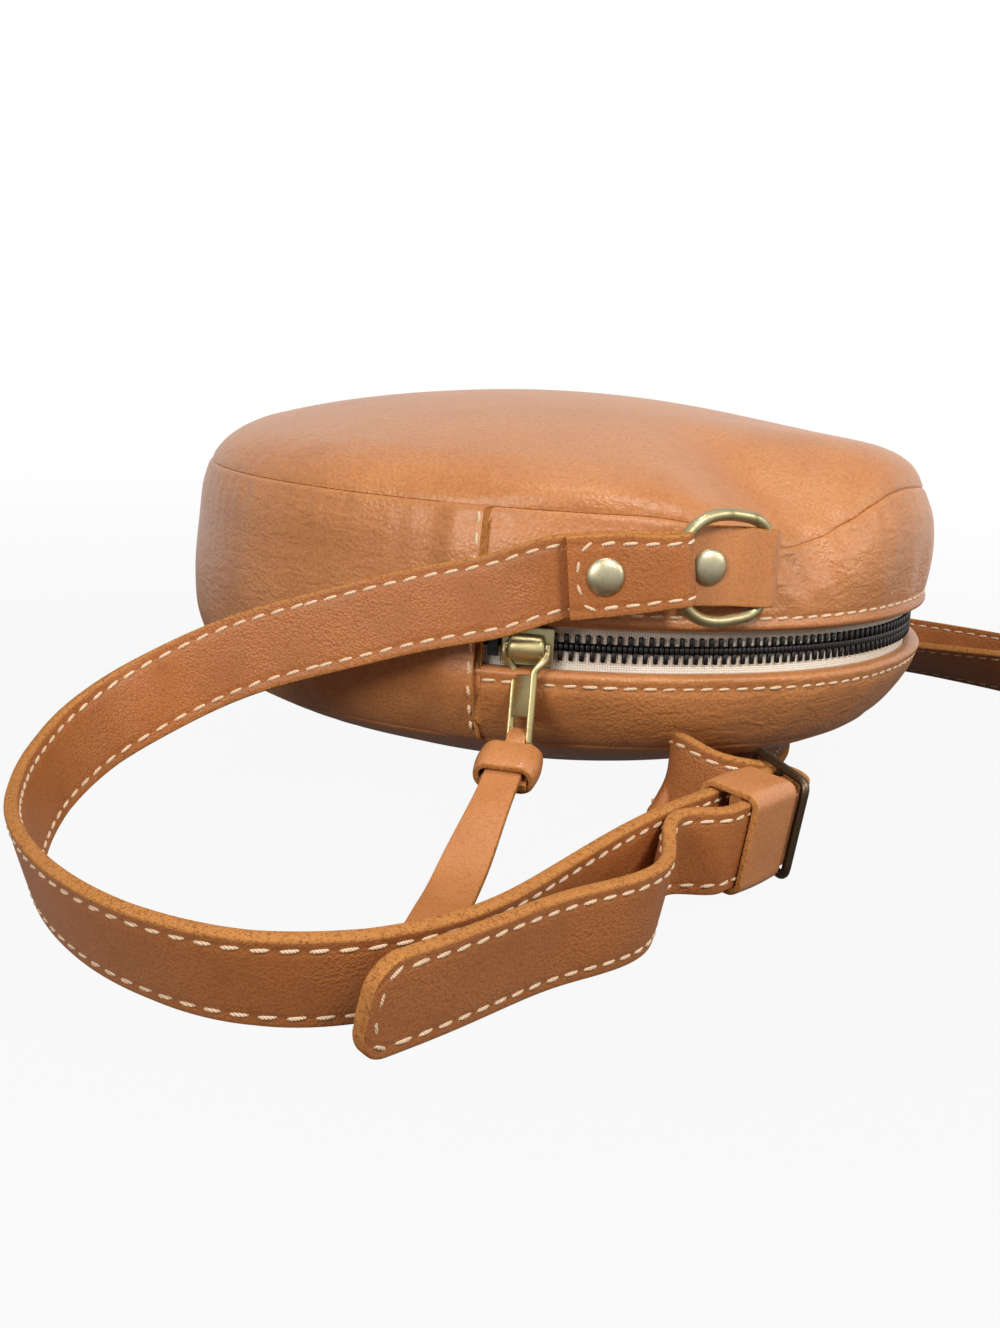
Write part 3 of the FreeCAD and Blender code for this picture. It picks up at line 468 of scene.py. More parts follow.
def worn_metal_group():
    """Worn plating: a mask of dark patches, a roughness and a normal with fine pits."""
    bright_roughness, worn_roughness = 0.36, 0.2
    pit_height, pit_strength = 0.0001, 0.25
    group, start, end = new_group(
        "worn_metal", {"Patch mm": 6.0, "Wear": 0.5},
        {"Dark": "NodeSocketFloat", "Roughness": "NodeSocketFloat", "Normal": "NodeSocketVector"},
    )
    place = scaled_place(group, math_node(group, "DIVIDE", per_metre, start.outputs["Patch mm"]))
    cloud = noise(group, place, scale=1.0, detail=6.0, roughness=0.7)
    specks = noise(group, place, scale=9.0, detail=2.0)
    dark = smooth_range(group, cloud, 0.45, 0.75)
    spots = smooth_range(group, specks, 0.55, 0.85)
    total = math_node(group, "MULTIPLY", math_node(group, "MAXIMUM", dark, spots), start.outputs["Wear"])
    rough = math_node(group, "ADD", math_node(group, "MULTIPLY", total, worn_roughness), bright_roughness)
    bumped(group, end, specks, pit_height, pit_strength)
    group.links.new(total, end.inputs["Dark"])
    group.links.new(rough, end.inputs["Roughness"])
    return group


leather_grain = grain_group()
worn_metal = worn_metal_group()
print("groups:", leather_grain.name, worn_metal.name)

# %% Makers of finishes
tone_positions = (0.15, 0.85)
edge_dark, edge_light = (0.24, 0.088, 0.025), (0.49, 0.215, 0.066)
tape_dark, tape_light = (0.66, 0.60, 0.50), (0.90, 0.86, 0.78)
ribs_per_mm = {"along": 1.6, "across": 1.9}


def new_finish(name, **values):
    """Material with its tree and its Principled shader, whose sockets are named with _ for a space."""
    material = bpy.data.materials.new(name)
    material.use_nodes = True
    shader = material.node_tree.nodes["Principled BSDF"]
    for key, value in values.items():
        shader.inputs[key.replace("_", " ")].default_value = value
    return material, material.node_tree, shader


def two_tones(tree, shader, factor, dark, light):
    """Base colour between two tones."""
    ramp = tree.nodes.new("ShaderNodeValToRGB")
    for element, position, tone in zip(ramp.color_ramp.elements, tone_positions, (dark, light)):
        element.position = position
        element.color = (*tone, 1.0)
    tree.links.new(factor, ramp.inputs["Fac"])
    tree.links.new(ramp.outputs["Color"], shader.inputs["Base Color"])


def leather_finish(name, dark, light, grain_mm, depth, roughness, gloss):
    """Grained leather; its creases follow the mesh attribute of that name."""
    material, tree, shader = new_finish(name, Roughness=roughness, Specular_IOR_Level=gloss)
    grain = node(
        tree, "ShaderNodeGroup", {"node_tree": leather_grain}, {"Grain mm": grain_mm, "Depth": depth}
    )
    creases = node(tree, "ShaderNodeAttribute", {"attribute_name": "creases"})
    tree.links.new(creases.outputs["Fac"], grain.inputs["Creases"])
    two_tones(tree, shader, grain.outputs["Shade"], dark, light)
    tree.links.new(grain.outputs["Normal"], shader.inputs["Normal"])
    return material


def cut_edge_finish():
    """Raw cut edge: fibres and dark specks."""
    material, tree, shader = new_finish("cut_edge", Roughness=0.85, Specular_IOR_Level=0.1)
    place = scaled_place(tree, per_metre)
    fibres = noise(tree, place, scale=2.4, detail=4.0, roughness=0.65)
    specks = noise(tree, place, scale=0.9, detail=3.0)
    mixed = math_node(tree, "MULTIPLY", fibres, math_node(tree, "ADD", specks, 0.5))
    two_tones(tree, shader, smooth_range(tree, mixed, 0.22, 0.62), edge_dark, edge_light)
    bumped(tree, shader, fibres, distance=0.0004, strength=0.6)
    return material


def thread_finish(name, dark, light):
    """Waxed thread with the faint ridges of its plies."""
    material, tree, shader = new_finish(name, Roughness=0.6)
    wave = node(
        tree, "ShaderNodeTexWave", {"bands_direction": "DIAGONAL"}, {"Scale": 0.9, "Distortion": 1.5},
        {"Vector": scaled_place(tree, per_metre)},
    )
    plies = wave.outputs["Fac"]
    two_tones(tree, shader, plies, dark, light)
    bumped(tree, shader, plies, distance=0.00015, strength=0.5)
    return material


def tape_finish():
    """Woven zip tape: fine ribs along and across, from the mesh's own along and across attributes."""
    material, tree, shader = new_finish("zip_tape", Roughness=0.9)
    ribs = []
    for key, per_mm in ribs_per_mm.items():
        position = node(tree, "ShaderNodeAttribute", {"attribute_name": key}).outputs["Fac"]
        wave = math_node(tree, "SINE", math_node(tree, "MULTIPLY", position, math.tau * per_mm), 0.0)
        ribs.append(math_node(tree, "ADD", math_node(tree, "MULTIPLY", wave, 0.5), 0.5))
    weave = math_node(tree, "MAXIMUM", *ribs)
    two_tones(tree, shader, weave, tape_dark, tape_light)
    bumped(tree, shader, weave, distance=0.0003, strength=0.6)
    return material


def metal_finish(name, bright, dark, patch_mm, wear):
    """Plated metal, worn darker in patches."""
    material, tree, shader = new_finish(name, Metallic=1.0)
    worn = node(tree, "ShaderNodeGroup", {"node_tree": worn_metal}, {"Patch mm": patch_mm, "Wear": wear})
    two_tones(tree, shader, worn.outputs["Dark"], bright, dark)
    tree.links.new(worn.outputs["Roughness"], shader.inputs["Roughness"])
    tree.links.new(worn.outputs["Normal"], shader.inputs["Normal"])
    return material


print("tape ribs in each mm:", ribs_per_mm)

# %% Finishes of the bag
body_leather = leather_finish(
    "body_leather", dark=(0.36, 0.13, 0.039), light=(0.55, 0.24, 0.087),
    grain_mm=0.8, depth=0.34, roughness=0.35, gloss=0.4,
)
strap_leather = leather_finish(
    "strap_leather", dark=(0.28, 0.09, 0.0245), light=(0.46, 0.176, 0.057),
    grain_mm=0.55, depth=0.36, roughness=0.36, gloss=0.27,
)
trim_leather = leather_finish(
    "trim_leather", dark=(0.40, 0.15, 0.047), light=(0.58, 0.255, 0.098),
    grain_mm=0.6, depth=0.15, roughness=0.27, gloss=0.45,
)
cut_edge = cut_edge_finish()
pale_thread = thread_finish("pale_thread", dark=(0.55, 0.38, 0.24), light=(0.86, 0.68, 0.50))
tape_weave = tape_finish()
tooth_metal = metal_finish(
    "zip_teeth", bright=(0.032, 0.03, 0.031), dark=(0.01, 0.009, 0.01), patch_mm=3.0, wear=0.6
)
ring_brass = metal_finish(
    "aged_brass", bright=(0.34, 0.30, 0.165), dark=(0.16, 0.13, 0.06), patch_mm=4.0, wear=0.7
)
rivet_metal = metal_finish(
    "rivet_brass", bright=(0.42, 0.385, 0.26), dark=(0.20, 0.175, 0.10), patch_mm=1.4, wear=0.6
)
pull_brass = metal_finish(
    "pull_brass", bright=(0.48, 0.41, 0.21), dark=(0.22, 0.17, 0.075), patch_mm=4.0, wear=0.6
)
buckle_bronze = metal_finish(
    "dark_bronze", bright=(0.10, 0.072, 0.045), dark=(0.03, 0.02, 0.013), patch_mm=4.0, wear=0.7
)
print("materials:", len(bpy.data.materials))

# %% [markdown]
# ## The bag's wall sags
# A new bag would be a clean drum. This one is stuffed and has been leaned on: its front seam dips under the
# ring tab and rises again to the right, the lower rim is tucked in under the bag, and the front panel hangs
# over the seam at the zip end. One function moves points round the bag, and every leather piece of the body
# goes through it, so the seams stay closed however they sag.

# %% Sizes and places of the sag
bag_radius = 100.0
leather = 1.8
back_seam_z, zip_low_z, zip_high_z, front_seam_z = 22.0, 37.0, 47.0, 73.0
zip_mid_z = (zip_low_z + zip_high_z) / 2
flange_radius = 93.0
zip_start, zip_end = -10.0, 180.0
anchor_angles = {"left": 21.0, "right": 149.0}

# The front seam's rise at angles round the bag.
seam_angles = (13.0, 20.0, 29.0, 33.0, 37.0, 43.7, 51.6, 56.0, 66.0, 85.0, 110.0)
seam_shifts = (0.0, -2.5, -7.0, -7.3, -6.0, -1.3, 4.0, 6.0, 6.0, 3.5, 0.0)
smoothing_turns = (-4.0, -2.0, 0.0, 2.0, 4.0)

# Pairs of where a smooth step starts and ends.
rim_step, wall_step, under_step = (45.0, 98.0), (85.0, 97.0), (66.0, 98.0)
high_step = (zip_high_z, front_seam_z - 2.0)
low_step = (back_seam_z + 2.0, zip_high_z - 3.0)
hollow_step = (front_seam_z - 1.0, front_seam_z + 6.0)
pull_rise, pull_fall = (40.0, 62.0), (95.0, 130.0)
pinch_rise, pinch_fall = (30.0, 45.0), (110.0, 140.0)
zip_fade = 14.0

# Pairs of the middle and the width of a smooth hump.
dent_turn, fold_turn, hollow_turn, overhang_turn = (33.0, 9.0), (35.0, 13.0), (31.0, 13.0), (2.0, 13.0)
hollow_reach = (86.0, 13.0)
pinch_height, fold_height = (front_seam_z, 5.0), (front_seam_z - 4.0, 10.0)
overhang_height = (front_seam_z + 5.0, 4.5)
lower_belly_height, upper_belly_height = (zip_low_z - 4.0, 5.0), (zip_high_z + 13.0, 8.0)
plain_belly_height = (zip_mid_z + 2.0, 14.0)
anchor_width_turn = 9.0

dent_depth, pull_depth, hollow_depth, overhang_depth = 3.0, 2.0, 2.5, 2.2
tuck_top, tuck_depth, tuck_drop, tuck_roundness = zip_low_z - 1.0, 12.0, 6.0, 0.94
pinch_depth, side_pinch_depth = 1.6, 0.9
lower_belly, upper_belly, plain_belly = 0.8, 1.1, 1.2
fold_depth, fold_waves, fold_slant = 0.45, 62.0, 0.3
print("seam dips", min(seam_shifts), "mm and rises", max(seam_shifts), "mm")

# %% How the leather sags
def wrapped(angle):
    """Angles between -180 and 180 degrees."""
    return (np.asarray(angle) + 180.0) % 360.0 - 180.0


def seam_rise(angle):
    """Rise of the front seam, smoothed round the bag."""
    rises = [np.interp(angle + turn, seam_angles, seam_shifts) for turn in smoothing_turns]
    return sum(rises) / len(smoothing_turns)


def belly(angle, z):
    """Bulge of the wall: two beside the zip, one on the closed half, none under the anchor tabs."""
    past_zip = ease(angle + 360.0, zip_end, zip_end + zip_fade)
    beside_zip = np.clip(ease(angle, zip_start - zip_fade, zip_start) + 1.0 - past_zip, 0.0, 1.0)
    two_bellies = lower_belly * hill(z, *lower_belly_height) + upper_belly * hill(z, *upper_belly_height)
    one_belly = plain_belly * hill(z, *plain_belly_height)
    held = sum(hill(angle, anchor, anchor_width_turn) for anchor in anchor_angles.values())
    return (one_belly + (two_bellies - one_belly) * beside_zip) * (1.0 - held)


def slump(radius, angle, z):
    """Radius and height of points of the bag after it has sagged."""
    angle = wrapped(angle)
    near_rim = ease(radius, *rim_step)
    on_wall = ease(radius, *wall_step)
    high = ease(z, *high_step)
    low = 1.0 - ease(z, *low_step)
    below = np.clip((tuck_top - z) / (tuck_top - back_seam_z), 0.0, 1.0)
    under = (1.0 - np.sqrt(1.0 - tuck_roundness * below ** 2)) * ease(radius, *under_step)
    dent = dent_depth * hill(angle, *dent_turn) * high * near_rim
    pulled_in = pull_depth * between(angle, pull_rise, pull_fall) * low * near_rim
    pinch = pinch_depth + side_pinch_depth * between(angle, pinch_rise, pinch_fall)
    pinched = pinch * hill(z, *pinch_height) * on_wall
    overhang = overhang_depth * hill(angle, *overhang_turn) * hill(z, *overhang_height) * on_wall
    waves = np.sin(np.radians(angle) * fold_waves + z * fold_slant)
    folds = fold_depth * hill(angle, *fold_turn) * hill(z, *fold_height) * on_wall * waves
    hollow = hollow_depth * hill(angle, *hollow_turn) * hill(radius, *hollow_reach) * ease(z, *hollow_step)
    outwards = belly(angle, z) * on_wall + overhang + folds
    inwards = dent + pulled_in + tuck_depth * under + pinched
    return radius + outwards - inwards, z + seam_rise(angle) * high * near_rim - hollow - tuck_drop * under


top_point = slump(bag_radius, dent_turn[0], front_seam_z)
print("seam under the ring is at radius and height", [round(float(value), 1) for value in top_point])

# %% Gathers, creases and pieces of the wall
gather_depth, gather_reach, gather_start = 0.14, 8.0, 3.0
gather_waves, gather_seed = (53, 71, 83, 97, 113), 4
calm_pull, left_pull, right_pull = 0.4, 0.9, 0.8
left_gather_turn, right_gather_turn = (-38.0, 26.0), (42.0, 22.0)
calm_creases, left_creases, right_creases, seam_creases = 0.18, 0.75, 0.8, 0.4
left_crease_turn, right_crease_turn = (-50.0, 26.0), (42.0, 24.0)
corner_points = 6


def pucker(angle, distance):
    """Small gathers beside a seam, deeper where the seam is pulled."""
    angle = wrapped(angle)
    pull = left_pull * hill(angle, *left_gather_turn) + right_pull * hill(angle, *right_gather_turn)
    pull = pull + calm_pull
    nearness = np.exp(-distance / gather_reach) * ease(distance, 0.0, gather_start)
    return gather_depth * ripple(angle, gather_waves, gather_seed) * pull * nearness


def crease_mask(angle, near_seam):
    """Where the leather is creased: beside the seams and on the two sides that were leaned on."""
    angle = wrapped(angle)
    sides = left_creases * hill(angle, *left_crease_turn) + right_creases * hill(angle, *right_crease_turn)
    return np.clip(calm_creases + sides + seam_creases * near_seam, 0.0, 1.0)


def outline(corners, spacing):
    """Closed outline through corners given as radius, height and rounding, with evenly spaced points."""
    points = []
    count = len(corners)
    for index, (radius, z, rounding) in enumerate(corners):
        corner = np.array((radius, z))
        before = unit(np.array(corners[index - 1][:2]) - corner)
        after = unit(np.array(corners[(index + 1) % count][:2]) - corner)
        for t in (np.linspace(0.0, 1.0, corner_points) if rounding else (0.5,)):
            points.append(corner + (1 - t) ** 2 * before * rounding + t ** 2 * after * rounding)
    dense = []
    for here, there in zip(points, points[1:] + points[:1]):
        steps = max(1, round(np.linalg.norm(there - here) / spacing))
        dense += [here + (there - here) * step / steps for step in range(steps)]
    return np.array(dense)


def round_about(section, angles):
    """One copy of a section for each angle."""
    return np.repeat(section[None], len(angles), axis=0)


def wall_piece(name, angles, sections, closed, materials, attributes=None, face_slots=None):
    """Solid whose section, one for each angle, goes round the bag."""
    turns = angles if angles.ndim == 2 else angles[:, None]
    radius, z = slump(sections[..., 0], turns, sections[..., 1])
    faces = tube_faces(*sections.shape[:2], closed)
    return new_piece(name, polar(radius, turns, z), faces, materials, face_slots, attributes)


print("gathers are", gather_depth, "mm deep")

# %% [markdown]
# ## The two round panels
# Each panel is a disc of soft leather sewn to the wall inside out, then turned, so its rim rolls over into
# the seam. A subdivided disc would do for the dome, but the gathers along the seam need rings of points that
# get closer towards the rim. So the front panel's profile is drawn as two arcs, a wide crown and a tighter
# shoulder, and goes round the bag. The back panel is one arc, pressed flat where the bag lies on it.

# %% Front panel
front_bulge = 23.0
shoulder_radius = 35.0
rim_slope = math.radians(50.0)
panel_columns = 720
crown_rows, shoulder_rows = 34, 44
inside_step, inside_stop = 3, 8
rim_tuck, rim_tuck_reach, rim_drop, rim_drop_reach = 0.8, 1.6, 0.3, 1.2
top_wave_height, top_waves, top_seed = 0.5, (2, 3, 5), 9
top_wave_radius, top_wave_from_seam = (30.0, 80.0), (4.0, 20.0)
seam_opening, side_opening, opening_reach = 0.15, 0.4, 1.2
opening_rise, opening_fall = (34.0, 48.0), (110.0, 140.0)
crease_reach, crease_end = 16.0, (70.0, 8.0)


def arc(radius, turns, middle):
    """Points of an arc in the plane of radius and height."""
    return radius * np.stack([np.cos(turns), np.sin(turns)], axis=1) + middle


def front_profile(inset):
    """Radius and height of the front panel's profile from the middle to the rim, inset by a wall."""
    shoulder_r = bag_radius - shoulder_radius * math.sin(rim_slope)
    shoulder_z = front_seam_z - shoulder_radius * math.cos(rim_slope)
    top = front_seam_z + front_bulge
    fall = shoulder_z - top
    crown_radius = (shoulder_radius ** 2 - shoulder_r ** 2 - fall ** 2) / (2 * (fall + shoulder_radius))
    meet = math.atan2(shoulder_z - top + crown_radius, shoulder_r)
    crown_turns = np.linspace(math.pi / 2, meet, crown_rows)[:-1]
    shoulder_turns = np.linspace(meet, math.pi / 2 - rim_slope, shoulder_rows)
    crown = arc(crown_radius - inset, crown_turns, (0.0, top - crown_radius))
    shoulder = arc(shoulder_radius - inset, shoulder_turns, (shoulder_r, shoulder_z))
    return np.vstack([crown, shoulder])


outer = front_profile(0.0)
inner = front_profile(leather)[:-inside_stop:inside_step][::-1]
from_rim = np.linalg.norm(outer - outer[-1], axis=1)
outer[:, 0] -= rim_tuck * np.exp(-from_rim / rim_tuck_reach)
outer[:, 1] -= rim_drop * np.exp(-from_rim / rim_drop_reach)
rolled_rim = (
    (bag_radius - 1.2, front_seam_z - 0.5), (bag_radius - leather, front_seam_z - 0.55),
    (bag_radius - 2.4, front_seam_z - 0.4), (flange_radius, front_seam_z + 0.1),
    (flange_radius, front_seam_z + 1.6), (flange_radius + 3.0, front_seam_z + 2.2),
)
panel_section = np.vstack([outer, rolled_rim, inner, [[0.0, inner[-1, 1]]]])
panel_section[0, 0] = 0.0
panel_angles = np.linspace(-180.0, 180.0, panel_columns, endpoint=False)
panel_sections = round_about(panel_section, panel_angles)
from_seam = np.linalg.norm(outer - outer[-1], axis=1)
gathers = pucker(panel_angles[:, None], from_seam)
top_ripple = top_wave_height * ripple(panel_angles, top_waves, top_seed)
soft_top = top_ripple[:, None] * ease(outer[:, 0], *top_wave_radius)
opening = seam_opening + side_opening * between(panel_angles, opening_rise, opening_fall)
outer_heights = panel_sections[:, :len(outer), 1]
outer_heights += gathers + soft_top * ease(from_seam, *top_wave_from_seam)
outer_heights += opening[:, None] * np.exp(-from_seam / opening_reach)
outer_heights[:, 0] = outer[0, 1]
panel_creases = np.zeros(panel_sections.shape[:2])
beside_seam = crease_mask(panel_angles[:, None], np.exp(-from_seam / crease_reach))
panel_creases[:, :len(outer)] = beside_seam * ease(from_seam, *crease_end)
front_panel = wall_piece(
    "front_panel_leather", panel_angles, panel_sections, True, [body_leather], {"creases": panel_creases}
)
carried(front_panel, "bag", "leather_body", "front_panel")

# %% Back panel
back_bulge = 24.0
back_press = 2.0
press_softness = 0.35
floor_gap = 0.02
back_columns = 480
back_ring, middle_rows, rim_rows = 60.0, 14, 32
back_inside_step, back_inside_stop = 2, 4
back_gather_turn, back_gather_height = 90.0, (2.0, 9.0)
back_crease, back_crease_reach = 0.5, 14.0


def back_profile(inset):
    """Radius and height of the back panel's profile from its flat middle to the rim."""
    crown_radius = (bag_radius ** 2 + back_bulge ** 2) / (2 * back_bulge)
    middle = np.linspace(0.0, back_ring, middle_rows)[:-1]
    radius = np.concatenate([middle, np.linspace(back_ring, bag_radius, rim_rows)])
    z = crown_radius - np.sqrt(crown_radius ** 2 - radius ** 2) - back_press
    pressed = np.logaddexp(0.0, z / press_softness) * press_softness
    return np.stack([radius, pressed + inset], axis=1)


outer = back_profile(0.0)
outer[:, 1] *= (back_seam_z - 0.1) / outer[-1, 1]
outer[:, 1] = np.maximum(outer[:, 1] - outer[0, 1], 0.0) + floor_gap
inner = back_profile(leather)[:-back_inside_stop:back_inside_step][::-1]
rolled_rim = (
    (bag_radius - 0.5, back_seam_z + 0.3), (bag_radius - 1.4, back_seam_z + 0.35),
    (flange_radius, back_seam_z - 0.1), (flange_radius, back_seam_z - leather),
)
back_section = np.vstack([outer, rolled_rim, inner])
back_angles = np.linspace(-180.0, 180.0, back_columns, endpoint=False)
back_sections = round_about(back_section, back_angles)
from_seam = np.linalg.norm(outer - outer[-1], axis=1)
gathers = pucker(back_angles[:, None] + back_gather_turn, from_seam)
back_sections[:, :len(outer), 1] -= gathers * ease(outer[:, 1], *back_gather_height)
back_creases = np.zeros(back_sections.shape[:2])
back_creases[:, :len(outer)] = back_crease * np.exp(-from_seam / back_crease_reach)
back_panel = wall_piece(
    "back_panel_leather", back_angles, back_sections, True, [body_leather], {"creases": back_creases}
)
carried(back_panel, "bag", "leather_body", "back_panel")

# %% [markdown]
# ## Gusset and zip strips
# The wall is three strips of leather: a plain gusset round the closed half, and two narrow ones along the zip
# whose edges are folded in, so they look thick and round there. The gusset's ends lap over the zip panel and
# show their cut edge. Each strip is one outline in the plane of radius and height, rounded at its folds, that
# goes round.

# %% Gusset
lap_length = 10.0
lap_turn = math.degrees(lap_length / bag_radius)
lap_lift = 1.95
lap_near, lap_far = 3.2, lap_turn + 1.6
lap_radius = (90.0, 96.0)
wall = bag_radius - leather
seam_gap = 0.1
seam_low, seam_high = back_seam_z + seam_gap, front_seam_z - seam_gap
outside_step = (wall, bag_radius - 0.2)
seam_round, back_round, fold_round, cut_round = 1.9, 0.8, 1.0, 0.4
gusset_spacing, gusset_rows = 1.0, 361
gusset_gather_turn = 3.0
slack_depth, slack_waves, slack_seed = 0.4, (5, 8, 11), 2
gusset_crease_reach = 12.0
cut_slant = 0.9

front_flange = (
    (bag_radius, seam_high, seam_round), (flange_radius, seam_high, cut_round),
    (flange_radius, seam_high - leather, cut_round), (wall, seam_high - leather, fold_round),
)
back_flange = (
    (wall, seam_low + leather, fold_round), (flange_radius, seam_low + leather, cut_round),
    (flange_radius, seam_low, cut_round),
)
gusset_outline = outline(((bag_radius, seam_low, back_round), *front_flange, *back_flange), gusset_spacing)
outline_radius, outline_z = gusset_outline[:, 0], gusset_outline[:, 1]
gusset_start, gusset_end = zip_end, 360.0 + zip_start
gusset_angles = np.linspace(gusset_start, gusset_end, gusset_rows)
gusset_sections = round_about(gusset_outline, gusset_angles)
lapped = 1.0 - ease(gusset_angles, gusset_start + lap_near, gusset_start + lap_far)
lapped += ease(gusset_angles, gusset_end - lap_far, gusset_end - lap_near)
outside = ease(outline_radius, *outside_step)
from_top = np.abs(outline_z - front_seam_z)
from_bottom = np.abs(outline_z - back_seam_z)
gathers = pucker(gusset_angles[:, None] + gusset_gather_turn, np.minimum(from_top, from_bottom))
share_up = (outline_z - back_seam_z) / (front_seam_z - back_seam_z)
slack = slack_depth * ripple(gusset_angles, slack_waves, slack_seed)[:, None] * np.sin(math.pi * share_up)
gusset_sections[..., 0] += lap_lift * lapped[:, None] * ease(outline_radius, *lap_radius)
gusset_sections[..., 0] += gathers * outside
gusset_sections[..., 0] += slack * outside * (1.0 - np.clip(lapped, 0.0, 1.0))[:, None]
gusset_creases = crease_mask(gusset_angles[:, None], np.exp(-from_top / gusset_crease_reach)) * outside
cut_share = np.linspace(-1.0, 1.0, gusset_rows)[:, None]
gusset_turns = gusset_angles[:, None] - cut_share * cut_slant * outside
gusset_slots = np.zeros((gusset_rows - 1) * len(gusset_outline) + 2, dtype=int)
gusset_slots[-2:] = 1
gusset = wall_piece(
    "gusset_leather", gusset_turns, gusset_sections, False, [body_leather, cut_edge],
    {"creases": gusset_creases}, gusset_slots,
)
carried(gusset, "bag", "leather_body", "base_gusset")

# %% Zip strips
lip = bag_radius - 2 * leather
lip_turn = 8.0
lip_round, lip_inner_round = 1.7, 1.4
strip_spacing = 0.9
strip_angles = np.linspace(zip_start - lap_turn, zip_end + lap_turn, 421)
puff_height, puff_place = 0.5, (1.2, 1.2)
groove_height, groove_place = 0.35, (3.4, 0.8)
lip_wave_height, lip_waves, lip_seed, lip_wave_place = 0.3, (13, 19, 29, 41), 6, (9.0, 6.0)
strip_crease_reach = 10.0


def zip_strip(name, corners, edge_z, seam_z, node_name):
    """Leather strip between a seam and the zip, puffed a little along its folded edge."""
    section = outline(corners, strip_spacing)
    sections = round_about(section, strip_angles)
    outside = ease(section[:, 0], *outside_step)
    from_lip = np.abs(section[:, 1] - edge_z)
    from_seam = np.abs(section[:, 1] - seam_z)
    puff = puff_height * hill(from_lip, *puff_place) - groove_height * hill(from_lip, *groove_place)
    gathers = pucker(strip_angles[:, None], from_seam)
    lip_ripple = lip_wave_height * ripple(strip_angles, lip_waves, lip_seed)
    waves = lip_ripple[:, None] * hill(from_lip, *lip_wave_place)
    sections[..., 0] += (gathers + puff + waves) * outside
    creases = crease_mask(strip_angles[:, None], np.exp(-from_seam / strip_crease_reach)) * outside
    strip = wall_piece(name, strip_angles, sections, False, [body_leather], {"creases": creases})
    return carried(strip, "bag", "leather_body", node_name)


front_lip = (
    (wall, zip_high_z + lip_turn, 0.0), (lip, zip_high_z + lip_turn, cut_round),
    (lip, zip_high_z, lip_inner_round),
)
back_lip = (
    (bag_radius, zip_low_z, lip_round), (lip, zip_low_z, lip_inner_round),
    (lip, zip_low_z - lip_turn, cut_round), (wall, zip_low_z - lip_turn, 0.0),
)
front_corners = ((bag_radius, zip_high_z, lip_round), *front_flange, *front_lip)
back_corners = ((bag_radius, seam_low, back_round), *back_lip, *back_flange)
zip_strip("zip_strip_front_leather", front_corners, zip_high_z, front_seam_z, "zip_strip_front")
zip_strip("zip_strip_back_leather", back_corners, zip_low_z, back_seam_z, "zip_strip_back")

# %% [markdown]
# ## The zip
# A metal zip is two woven tapes with a row of teeth clamped to the edge of each, half a pitch apart so that
# they mesh. Placing some 250 teeth by hand would be slow, so one tooth is modelled and a Geometry Nodes tree
# repeats it along an edge chain. The same tree repeats stitches later: it needs only a pattern, a pitch and a
# direction that says which way is outwards.

# %% Zip tapes
tape_outer, tape_inner = 96.25, 95.45
tape_middle = (tape_outer + tape_inner) / 2
tape_width = 14.0
tape_round, tape_spacing = 0.2, 1.0
tooth_head = 0.9
tooth_gap = 0.06


def zip_tape(name, side, node_name):
    """Woven tape from the teeth to under the leather; side is 1 for the front one and -1 for the back one."""
    near = zip_mid_z + side * (tooth_head + tooth_gap)
    far = zip_mid_z + side * tape_width
    corners = ((tape_inner, near), (tape_outer, near), (tape_outer, far), (tape_inner, far))
    section = outline([(*corner, tape_round) for corner in corners], tape_spacing)
    sections = round_about(section, strip_angles)
    along = np.repeat(np.radians(strip_angles)[:, None] * tape_middle, len(section), axis=1)
    attributes = {"along": along, "across": round_about(section[:, 1], strip_angles)}
    tape = wall_piece(name, strip_angles, sections, False, [tape_weave], attributes)
    return carried(tape, "bag", "zip_tape", node_name)


zip_tape("zip_tape_front_weave", 1, "zip_tape_front")
zip_tape("zip_tape_back_weave", -1, "zip_tape_back")

